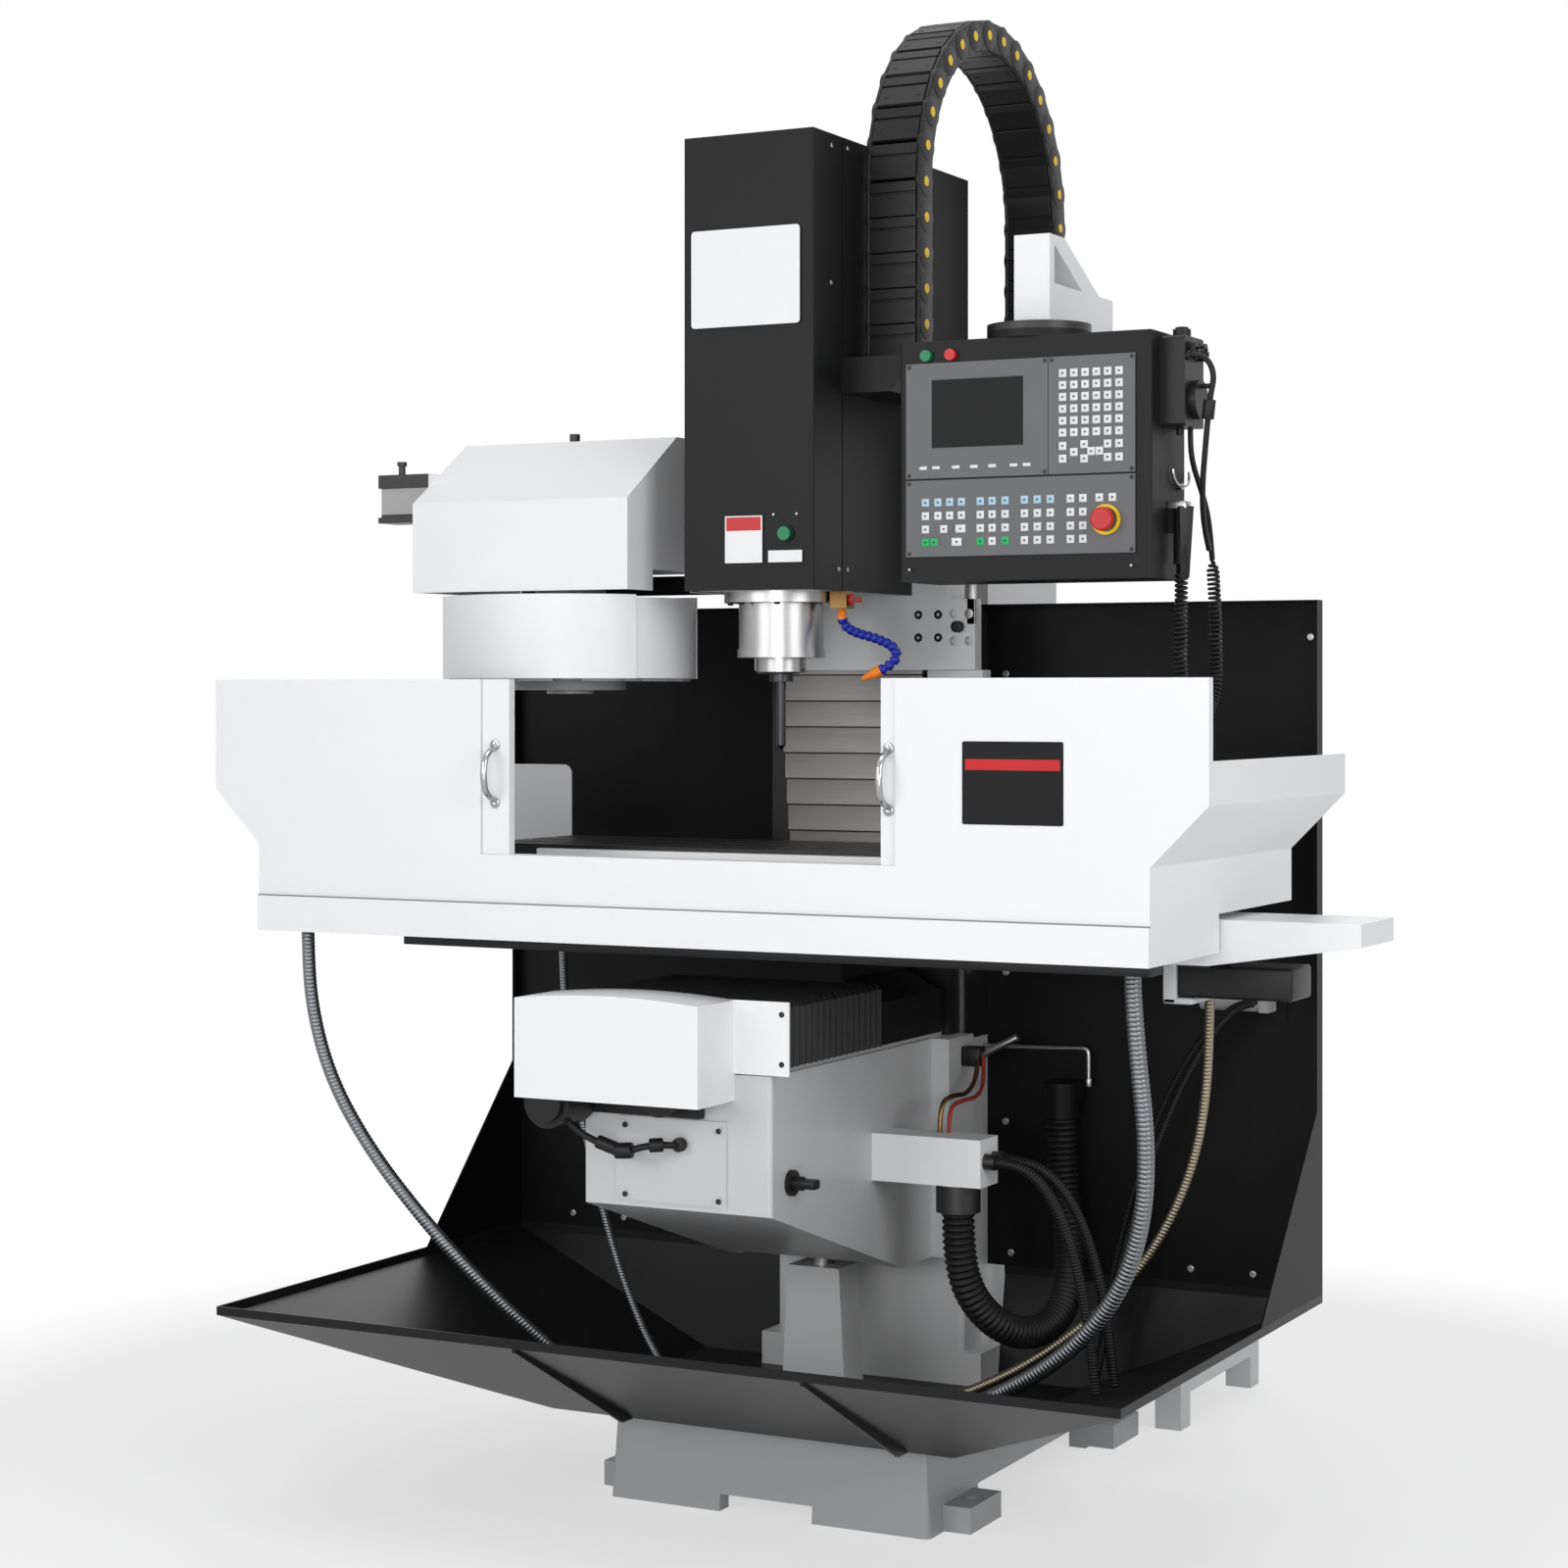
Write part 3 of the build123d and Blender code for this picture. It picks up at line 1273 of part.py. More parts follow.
def controller_arm():
    x0 = swivel_x - arm_bracket_w / 2
    x1 = swivel_x + arm_bracket_w / 2
    front = swivel_y - arm_bracket_w / 2
    back = front + arm_bracket_d
    side = [(front, arm_bracket_z), (front, arm_bracket_z + arm_bracket_h),
            (front + arm_bracket_w, arm_bracket_z + arm_bracket_h),
            (back, arm_bracket_z + arm_bracket_tail_h), (back, arm_bracket_z)]
    bracket = prism_x(side, x0, x1)
    window_x0 = front + arm_bracket_w * arm_window_edge_share
    span = arm_bracket_d * arm_window_share
    window = [(window_x0, arm_bracket_z + arm_bracket_h - arm_window_top),
              (window_x0, arm_bracket_z + arm_bracket_tail_h),
              (window_x0 + span, arm_bracket_z + arm_bracket_tail_h)]
    bracket -= prism_x(window, x0 - overrun, x1 + overrun)
    disc = rod_z(swivel_x, swivel_y, arm_bracket_z - swivel_t, arm_bracket_z, swivel_r)
    post = block(x0, x1, back, back + arm_tube_w, arm_tube_z, arm_bracket_z + arm_bracket_tail_h)
    tube_top = arm_tube_z + arm_tube_h
    foot_y = column_front_y + arm_tube_w
    post += block(x0, x1, back, foot_y, arm_tube_z, tube_top)
    post += block(column_half_w, x1, foot_y - arm_tube_w, foot_y, arm_tube_z, tube_top)
    return bracket + disc + post


def pendant():
    x0 = panel_box_right_x
    body = block(x0, x0 + pendant_w, pendant_y, pendant_y + pendant_d, pendant_z, pendant_z + pendant_h)
    body = fillet(body.edges().filter_by(Axis.X), panel_box_round)
    mid_y = pendant_y + pendant_d / 2
    axis_z = pendant_z + wheel_lift
    for place in (-1, 1):
        knob_y = mid_y + place * pendant_d * pendant_knob_share
        knob_z = pendant_z + pendant_h - 2 * wheel_hub_r
        body += rod_x(x0 + pendant_w, x0 + pendant_w + wheel_t, knob_y, knob_z, wheel_hub_r)
    top = pendant_z + pendant_h
    body += rod_z(x0 + pendant_w / 2, mid_y, top, top + pendant_cap_h, pendant_cap_r)
    return body - rod_x(x0 + pendant_w - wheel_t, x0 + pendant_w + overrun, mid_y, axis_z,
                        wheel_hub_r + bore_gap)


def handwheel():
    face = panel_box_right_x + pendant_w
    mid_y = pendant_y + pendant_d / 2
    axis_z = pendant_z + wheel_lift
    wheel = rod_x(face + slide_gap, face + slide_gap + wheel_t, mid_y, axis_z, wheel_r)
    wheel += rod_x(face - wheel_t + slide_gap, face + slide_gap, mid_y, axis_z, wheel_hub_r)
    rim = face + slide_gap + wheel_t
    return wheel + rod_x(rim, rim + wheel_grip_h, mid_y, axis_z + wheel_r * wheel_grip_share, wheel_grip_r)


def part_way(start, end, share):
    return start[0] + (end[0] - start[0]) * share, start[1] + (end[1] - start[1]) * share


def chain_link(start, end):
    inner_0, outer_0 = start
    inner_1, outer_1 = end
    right = chain_x + chain_w
    run = Vector(*outer_1).sub(Vector(*outer_0)).length
    gap_share = chain_link_gap / run
    inner_0, outer_0 = part_way(inner_0, inner_1, gap_share), part_way(outer_0, outer_1, gap_share)
    link = prism_x([inner_0, outer_0, outer_1, inner_1], chain_x, right)
    lid_share = chain_lid / chain_t
    low_0, low_1 = part_way(inner_0, outer_0, lid_share), part_way(inner_1, outer_1, lid_share)
    top_0, top_1 = part_way(outer_0, inner_0, lid_share), part_way(outer_1, inner_1, lid_share)
    beyond_share = overrun / run
    tunnel = [part_way(low_0, low_1, -beyond_share), part_way(top_0, top_1, -beyond_share),
              part_way(top_1, top_0, -beyond_share), part_way(low_1, low_0, -beyond_share)]
    link -= prism_x(tunnel, chain_x + chain_side, right - chain_side)
    first_share, last_share = chain_slot_shares
    slot_outer = [part_way(outer_0, outer_1, first_share), part_way(outer_0, outer_1, last_share)]
    slot_inner = [part_way(inner_0, inner_1, first_share), part_way(inner_0, inner_1, last_share)]
    depth_share = chain_slot_depth / chain_t
    slot = [part_way(slot_outer[0], slot_inner[0], -depth_share),
            part_way(slot_outer[1], slot_inner[1], -depth_share),
            part_way(slot_outer[1], slot_inner[1], depth_share),
            part_way(slot_outer[0], slot_inner[0], depth_share)]
    link -= prism_x(slot, chain_x + chain_side, right - chain_side)
    mid_0, mid_1 = part_way(inner_0, outer_0, chain_pin_share), part_way(inner_1, outer_1, chain_pin_share)
    pin_y, pin_z = part_way(mid_0, mid_1, chain_pin_share)
    return link + rod_x(chain_x - chain_pin_proud, chain_x, pin_y, pin_z, chain_pin_r) + rod_x(
        right, right + chain_pin_proud, pin_y, pin_z, chain_pin_r)


def drag_chain():
    loop_outer = chain_loop_r + chain_t / 2
    loop_inner = chain_loop_r - chain_t / 2
    stations = []
    for place in range(chain_links_front):
        z = chain_low_z + (chain_centre_z - chain_low_z) * place / chain_links_front
        stations.append(((chain_front_y + chain_t, z), (chain_front_y, z)))
    for place in range(chain_links_loop + 1):
        turn = pi * place / chain_links_loop
        stations.append(((chain_centre_y - loop_inner * cos(turn), chain_centre_z + loop_inner * sin(turn)),
                         (chain_centre_y - loop_outer * cos(turn), chain_centre_z + loop_outer * sin(turn))))
    for place in range(1, chain_links_rear + 1):
        z = chain_centre_z - (chain_centre_z - chain_end_z) * place / chain_links_rear
        stations.append(((chain_rear_y, z), (chain_rear_y + chain_t, z)))
    return [chain_link(start, end) for start, end in zip(stations, stations[1:])]


def z_way_cover():
    slats = []
    for place in range(z_cover_count):
        shift = z_cover_step * place
        half = z_cover_half_w - shift
        front = z_cover_front_y + shift
        top = slide_bottom_z - slide_gap - z_cover_pitch * place
        low = top - z_cover_pitch - z_cover_lap
        if place:
            top += z_cover_lap / 2
        back = way_front_y - z_cover_back_gap
        slat = block(-half, half, front, back, low, top)
        slat -= block(-half + z_cover_t, half - z_cover_t, front + z_cover_t, back + overrun, low - overrun,
                      top + overrun)
        slats.append(slat)
    return slats


def bend_radii(route):
    radii = []
    for before, corner, after in zip(route, route[1:], route[2:]):
        run_in = Vector(*corner) - Vector(*before)
        run_out = Vector(*after) - Vector(*corner)
        half_turn = radians(run_in.get_angle(run_out)) / 2
        radii.append(bend_share * min(run_in.length, run_out.length) / tan(half_turn))
    return radii


def corded(route, radius, name):
    radii = bend_radii(route)
    path = FilletPolyline(*route, radius=radii)
    start = Plane(origin=route[0], z_dir=Vector(*route[1]) - Vector(*route[0]))
    tube = sweep(start * Circle(radius), path=path)
    length = sum(edge.length for edge in path.edges())
    print(name, "radii", [round(r) for r in radii], "length", round(length),
          "volume share", round(tube.volume / (pi * radius ** 2 * length), 4))
    return tube


# Routes of the hoses and cords, from where they leave the machine
coolant_hose_route = [(112, -378, 1485), (112, -378, 1462), (136, -386, 1446), (180, -394, 1436),
                      (222, -402, 1420),
                      (224, -410, 1394), (190, -416, 1379)]
drain_left_route = [(-715, -708, 1033), (-715, -708, 930), (-706, -708, 820), (-668, -706, 705),
                    (-596, -700, 596),
                    (-506, -686, 492), (-424, -656, 398), (-358, -604, 312), (-312, -534, 238),
                    (-284, -456, 188),
                    (-262, -380, 168)]
drain_right_route = [(715, -640, 1033), (715, -640, 930), (724, -638, 810), (736, -632, 690),
                     (728, -622, 575),
                     (692, -608, 472), (628, -590, 388), (548, -572, 322), (456, -550, 268), (364, -518, 222),
                     (276, -478, 190), (190, -430, 170)]
coolant_line_route = [(673, -178, 1033), (673, -178, 930), (672, -178, 820), (668, -180, 710),
                      (652, -184, 605),
                      (616, -190, 506), (562, -198, 416), (492, -208, 338), (412, -222, 272),
                      (326, -240, 218),
                      (238, -264, 180), (152, -296, 165)]
corrugated_route = [(304, -343, 510), (304, -343, 440), (318, -326, 368), (350, -276, 312), (378, -196, 290),
                    (390, -110, 312), (380, -44, 372), (356, -2, 446), (336, 17, 530), (336, 17, 620)]
conduit_front_route = [(378, -359, 596), (412, -359, 596), (450, -358, 574), (480, -352, 530),
                       (500, -344, 470),
                       (514, -334, 400), (524, -324, 324), (531, -315, 233)]
conduit_rear_route = [(378, -327, 596), (414, -327, 596), (456, -324, 578), (490, -316, 536),
                      (514, -306, 476),
                      (530, -296, 406), (540, -286, 330), (547, -277, 240)]
curly_route = [(704, -398, 1545), (704, -398, 1482), (703, -399, 1416), (704, -398, 1352), (705, -354, 1310),
               (707, -293, 1310), (708, -250, 1354), (709, -252, 1420), (710, -260, 1490), (711, -276, 1556)]
lead_route = [(711, -276, 1556), (711.6, -286, 1597), (711, -302, 1636), (708, -326, 1670), (706, -350, 1700),
              (705, -360, 1728), (705, -360, 1755)]

# Write every piece
save("base_casting", base_casting())
save("column", column())
save("z_screw", z_screw())
save("lift_screw", lift_screw())
save("column_top_cover", column_top_cover())
save("chip_tray", chip_tray())
save("splash_wall", *splash_wall())
save("coolant_tank", coolant_tank())
save("knee_casting", knee_casting())
save("knee_front_cover", knee_front_cover())
save("y_motor_cover", y_motor_cover())
save("y_motor", y_motor())
save("y_screw", y_screw())
save("lift_crank", lift_crank())
save("junction_box", junction_box())
save("saddle_casting", saddle_casting())
save("table", table())
save("x_screw", x_screw())
save("y_way_cover", y_way_cover())
save("enclosure_front", enclosure_front())
save("enclosure_left_wall", enclosure_wall(-1))
save("enclosure_right_wall", enclosure_wall(1))
save("enclosure_floor", enclosure_floor())
save("door_left", door(door_left_x, door_left_edge_x))
save("door_right", door(door_right_edge_x, door_right_x))
save("door_handle_left", door_handle(door_left_edge_x - 2 * handle_inset))
save("door_handle_right", door_handle(door_right_edge_x + handle_inset))
save("x_end_cover", x_end_cover())
save("head_casting", head_casting())
save("head_cover", head_cover())
save("head_button", push_button(head_button_x, cover_front_y, head_button_z, button_r))
save("spindle_housing", spindle_housing())
save("spindle", spindle())
save("drill", drill())
save("coolant_valve", coolant_valve())
save("valve_lever", valve_lever())
save("coolant_hose", coolant_hose())
save("drum_skirt", drum_skirt())
save("drum_shutter", drum_shutter())
save("tool_disc", tool_disc())
save("magazine_carriage", magazine_carriage())
save("magazine_arm", magazine_arm())
save("magazine_roof", magazine_roof())
save("controller_box", controller_box())
save("control_panel", *control_panel())
save("start_button", push_button(start_button_x, panel_box_y, panel_button_z, panel_button_r))
save("stop_button", push_button(stop_button_x, panel_box_y, panel_button_z, panel_button_r))
save("estop_button", estop_button())
save("controller_arm", controller_arm())
save("pendant", pendant())
save("handwheel", handwheel())
save("drag_chain", *drag_chain())
save("z_way_cover", *z_way_cover())
save("drain_hose_left", corded(drain_left_route, drain_left_r, "drain_hose_left"))
save("drain_hose_right", corded(drain_right_route, drain_right_r, "drain_hose_right"))
save("coolant_line", corded(coolant_line_route, coolant_line_r, "coolant_line"))
save("corrugated_hose", corded(corrugated_route, corrugated_r, "corrugated_hose"))
save("conduit_front", corded(conduit_front_route, conduit_r, "conduit_front"))
save("conduit_rear", corded(conduit_rear_route, conduit_r, "conduit_rear"))
save("pendant_cord", corded(curly_route, curly_r, "pendant_cord"), corded(lead_route, lead_r, "pendant_lead"))
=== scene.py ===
import json
import math

import bpy
from mathutils import Matrix, Vector
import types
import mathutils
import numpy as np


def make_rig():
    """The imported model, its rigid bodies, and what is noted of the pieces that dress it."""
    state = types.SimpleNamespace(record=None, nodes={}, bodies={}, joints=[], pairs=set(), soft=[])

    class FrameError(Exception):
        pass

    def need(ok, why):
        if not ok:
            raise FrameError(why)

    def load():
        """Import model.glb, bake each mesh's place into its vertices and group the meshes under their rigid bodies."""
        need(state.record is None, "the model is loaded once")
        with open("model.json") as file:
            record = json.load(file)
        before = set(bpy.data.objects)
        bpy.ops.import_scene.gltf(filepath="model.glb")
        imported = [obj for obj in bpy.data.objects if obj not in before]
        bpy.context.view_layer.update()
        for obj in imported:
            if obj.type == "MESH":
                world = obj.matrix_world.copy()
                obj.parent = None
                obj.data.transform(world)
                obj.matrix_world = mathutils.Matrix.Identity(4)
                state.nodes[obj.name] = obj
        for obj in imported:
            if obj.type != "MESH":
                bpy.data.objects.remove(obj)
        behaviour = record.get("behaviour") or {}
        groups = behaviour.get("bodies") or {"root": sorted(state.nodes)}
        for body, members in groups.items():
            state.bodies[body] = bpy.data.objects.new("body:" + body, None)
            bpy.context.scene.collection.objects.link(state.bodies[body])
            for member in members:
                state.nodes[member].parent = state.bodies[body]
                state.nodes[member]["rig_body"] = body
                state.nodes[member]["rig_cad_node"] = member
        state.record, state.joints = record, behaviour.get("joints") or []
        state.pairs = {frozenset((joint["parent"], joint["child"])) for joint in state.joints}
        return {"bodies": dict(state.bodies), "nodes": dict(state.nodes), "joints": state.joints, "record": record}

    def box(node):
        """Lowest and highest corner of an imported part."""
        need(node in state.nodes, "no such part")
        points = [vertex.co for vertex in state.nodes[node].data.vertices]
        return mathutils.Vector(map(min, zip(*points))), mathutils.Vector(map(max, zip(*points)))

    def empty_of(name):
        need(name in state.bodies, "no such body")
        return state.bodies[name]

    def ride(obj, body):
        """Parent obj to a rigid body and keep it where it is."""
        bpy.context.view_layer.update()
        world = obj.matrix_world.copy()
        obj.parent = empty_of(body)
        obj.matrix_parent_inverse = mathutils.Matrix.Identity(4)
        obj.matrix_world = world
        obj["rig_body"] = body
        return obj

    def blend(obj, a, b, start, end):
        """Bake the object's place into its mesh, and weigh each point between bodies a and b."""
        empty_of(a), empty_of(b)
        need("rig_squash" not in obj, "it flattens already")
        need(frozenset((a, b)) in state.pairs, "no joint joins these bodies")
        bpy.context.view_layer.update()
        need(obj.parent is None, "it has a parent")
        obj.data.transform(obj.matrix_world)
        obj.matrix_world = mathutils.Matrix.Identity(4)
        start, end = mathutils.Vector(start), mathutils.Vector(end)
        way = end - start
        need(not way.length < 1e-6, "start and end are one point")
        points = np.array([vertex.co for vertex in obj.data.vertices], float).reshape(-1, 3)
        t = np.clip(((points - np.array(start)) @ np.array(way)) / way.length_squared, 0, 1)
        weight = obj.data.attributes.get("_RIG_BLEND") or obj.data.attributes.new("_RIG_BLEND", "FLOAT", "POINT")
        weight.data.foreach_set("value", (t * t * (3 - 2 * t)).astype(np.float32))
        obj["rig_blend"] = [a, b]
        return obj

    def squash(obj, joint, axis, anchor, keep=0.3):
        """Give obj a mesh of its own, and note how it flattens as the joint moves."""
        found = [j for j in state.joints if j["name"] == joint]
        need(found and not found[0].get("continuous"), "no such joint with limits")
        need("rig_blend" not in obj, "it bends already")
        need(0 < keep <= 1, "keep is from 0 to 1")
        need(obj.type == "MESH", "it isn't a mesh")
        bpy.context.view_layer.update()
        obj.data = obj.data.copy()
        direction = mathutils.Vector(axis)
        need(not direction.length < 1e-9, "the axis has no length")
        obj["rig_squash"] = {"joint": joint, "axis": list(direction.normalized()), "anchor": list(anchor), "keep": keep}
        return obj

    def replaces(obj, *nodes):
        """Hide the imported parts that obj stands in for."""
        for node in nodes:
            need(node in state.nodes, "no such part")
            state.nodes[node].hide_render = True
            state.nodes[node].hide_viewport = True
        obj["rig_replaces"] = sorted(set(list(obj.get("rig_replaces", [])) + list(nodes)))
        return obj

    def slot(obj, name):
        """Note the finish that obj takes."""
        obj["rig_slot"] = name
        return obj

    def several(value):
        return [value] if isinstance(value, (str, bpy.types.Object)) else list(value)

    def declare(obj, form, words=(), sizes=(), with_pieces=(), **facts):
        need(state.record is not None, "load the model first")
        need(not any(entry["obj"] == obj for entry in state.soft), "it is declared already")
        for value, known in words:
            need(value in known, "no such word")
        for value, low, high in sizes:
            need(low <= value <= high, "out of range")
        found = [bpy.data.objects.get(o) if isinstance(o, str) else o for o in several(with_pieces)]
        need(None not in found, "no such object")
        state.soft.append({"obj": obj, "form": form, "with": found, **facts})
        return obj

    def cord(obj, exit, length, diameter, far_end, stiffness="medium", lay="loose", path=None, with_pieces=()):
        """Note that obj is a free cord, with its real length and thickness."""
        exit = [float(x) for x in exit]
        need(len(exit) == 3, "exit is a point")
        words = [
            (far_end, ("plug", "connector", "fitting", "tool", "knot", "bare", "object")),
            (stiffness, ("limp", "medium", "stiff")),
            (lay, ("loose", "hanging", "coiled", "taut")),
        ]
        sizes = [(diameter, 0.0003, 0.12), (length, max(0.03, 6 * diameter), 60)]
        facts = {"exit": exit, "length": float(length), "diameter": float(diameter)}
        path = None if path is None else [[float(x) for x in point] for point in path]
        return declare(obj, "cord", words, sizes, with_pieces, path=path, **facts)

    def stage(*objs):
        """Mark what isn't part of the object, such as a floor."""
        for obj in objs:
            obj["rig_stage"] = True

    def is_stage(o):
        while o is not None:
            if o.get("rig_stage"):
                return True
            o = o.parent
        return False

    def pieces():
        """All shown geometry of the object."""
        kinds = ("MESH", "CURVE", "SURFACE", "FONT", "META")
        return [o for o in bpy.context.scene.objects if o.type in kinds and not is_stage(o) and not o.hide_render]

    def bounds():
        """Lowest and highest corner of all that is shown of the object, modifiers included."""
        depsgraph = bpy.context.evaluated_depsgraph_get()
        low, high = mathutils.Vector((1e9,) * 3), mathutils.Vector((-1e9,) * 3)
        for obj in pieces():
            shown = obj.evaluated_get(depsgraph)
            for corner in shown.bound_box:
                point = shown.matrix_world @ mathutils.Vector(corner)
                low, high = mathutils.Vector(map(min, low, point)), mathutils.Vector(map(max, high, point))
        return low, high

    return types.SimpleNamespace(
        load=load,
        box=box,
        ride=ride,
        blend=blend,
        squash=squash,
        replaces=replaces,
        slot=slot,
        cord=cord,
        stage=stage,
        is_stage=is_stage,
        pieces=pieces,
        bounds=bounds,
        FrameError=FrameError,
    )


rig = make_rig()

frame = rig.load()
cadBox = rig.bounds()
nodes = frame["nodes"]
scene = bpy.context.scene
print("frame loaded:", len(nodes), "nodes")


# shader maths: a socket that takes part in plain expressions

class Val:
    def __init__(self, tree, socket):
        self.tree = tree
        self.socket = socket

    def math(self, operation, *others, clamp=False):
        made = self.tree.nodes.new("ShaderNodeMath")
        made.operation = operation
        made.use_clamp = clamp
        for place, value in enumerate((self,) + others):
            link(self.tree, value, made.inputs[place])
        return Val(self.tree, made.outputs[0])

    def flipped(self, operation, other):
        made = self.tree.nodes.new("ShaderNodeMath")
        made.operation = operation
        made.inputs[0].default_value = other
        link(self.tree, self, made.inputs[1])
        return Val(self.tree, made.outputs[0])

    def __add__(self, other): return self.math("ADD", other)
    def __radd__(self, other): return self.math("ADD", other)
    def __sub__(self, other): return self.math("SUBTRACT", other)
    def __rsub__(self, other): return self.flipped("SUBTRACT", other)
    def __mul__(self, other): return self.math("MULTIPLY", other)
    def __rmul__(self, other): return self.math("MULTIPLY", other)
    def __truediv__(self, other): return self.math("DIVIDE", other)
    def __gt__(self, other): return self.math("GREATER_THAN", other)
    def __lt__(self, other): return self.math("LESS_THAN", other)


def link(tree, value, socket):
    if isinstance(value, Val):
        tree.links.new(value.socket, socket)
    else:
        socket.default_value = value


class Finish:
    def __init__(self, name, color, rough, metal=0.0, coat=0.0, specular=0.5):
        self.mat = bpy.data.materials.new(name)
        self.mat.use_nodes = True
        self.mat.diffuse_color = (*color, 1)
        self.tree = self.mat.node_tree
        self.shader = self.tree.nodes["Principled BSDF"]
        self.tone = color
        self.set("Base Color", (*color, 1))
        self.set("Roughness", rough)
        self.set("Metallic", metal)
        self.set("Coat Weight", coat)
        self.set("Specular IOR Level", specular)

    def set(self, socket, value):
        link(self.tree, value, self.shader.inputs[socket])

    def node(self, kind, settings=None, out=0, **inputs):
        made = self.tree.nodes.new(kind)
        for key, value in (settings or {}).items():
            setattr(made, key, value)
        for key, value in inputs.items():
            link(self.tree, value, made.inputs[key.replace("_", " ")])
        return Val(self.tree, made.outputs[out])

    def place(self):
        return self.node("ShaderNodeTexCoord", out=3)

    def axis(self, letter):
        split = self.node("ShaderNodeSeparateXYZ", Vector=self.place())
        return Val(self.tree, split.socket.node.outputs["XYZ".index(letter)])

    def noise(self, scale, detail=3.0, stretch=(1, 1, 1)):
        spot = self.place()
        if stretch != (1, 1, 1):
            spot = self.node("ShaderNodeMapping", Vector=spot, Scale=stretch)
        return self.node("ShaderNodeTexNoise", Vector=spot, Scale=scale, Detail=detail)

    def mix(self, share, first, second):
        made = self.tree.nodes.new("ShaderNodeMix")
        made.data_type = "RGBA"
        link(self.tree, share, made.inputs[0])
        link(self.tree, first if isinstance(first, Val) else (*first, 1), made.inputs[6])
        link(self.tree, second if isinstance(second, Val) else (*second, 1), made.inputs[7])
        return Val(self.tree, made.outputs[2])

    def bump(self, height, strength, distance):
        self.set("Normal", self.node("ShaderNodeBump", Strength=strength, Distance=distance, Height=height))


def shade(color, factor):
    return tuple(min(1.0, c * factor) for c in color)


def powderCoat(name, color, rough, grain=900.0, depth=0.0002, vary=0.04, specular=0.5):
    made = Finish(name, color, rough, specular=specular)
    cloud = made.noise(3.0, 2.0)
    made.set("Base Color", made.mix(cloud, shade(color, 1 - vary), shade(color, 1 + vary)))
    fine = made.noise(grain, 2.0)
    made.set("Roughness", fine * 0.12 + (rough - 0.06))
    made.bump(fine, 0.25, depth)
    return made


def castPaint(name, color, rough=0.42):
    made = Finish(name, color, rough, coat=0.15)
    wide = made.noise(9.0, 4.0)
    fine = made.noise(160.0, 3.0)
    made.set("Base Color", made.mix(wide, shade(color, 0.95), shade(color, 1.04)))
    made.set("Roughness", fine * 0.16 + (rough - 0.08))
    made.bump(wide * 0.7 + fine * 0.3, 0.22, 0.0012)
    return made


def brushedMetal(name, color, rough, stretch, scale=260.0):
    made = Finish(name, color, rough, metal=1.0)
    lines = made.noise(scale, 4.0, stretch)
    made.set("Base Color", made.mix(lines, shade(color, 0.86), shade(color, 1.08)))
    made.set("Roughness", lines * 0.22 + (rough - 0.1))
    made.bump(lines, 0.12, 0.0002)
    return made


def mouldedPlastic(name, color, rough=0.45, grain=700.0, coat=0.0, specular=0.25):
    made = Finish(name, color, rough, coat=coat, specular=specular)
    fine = made.noise(grain, 2.0)
    made.set("Roughness", fine * 0.14 + (rough - 0.07))
    made.set("Base Color", made.mix(made.noise(14.0), shade(color, 0.9), shade(color, 1.1)))
    made.bump(fine, 0.14, 0.00015)
    return made


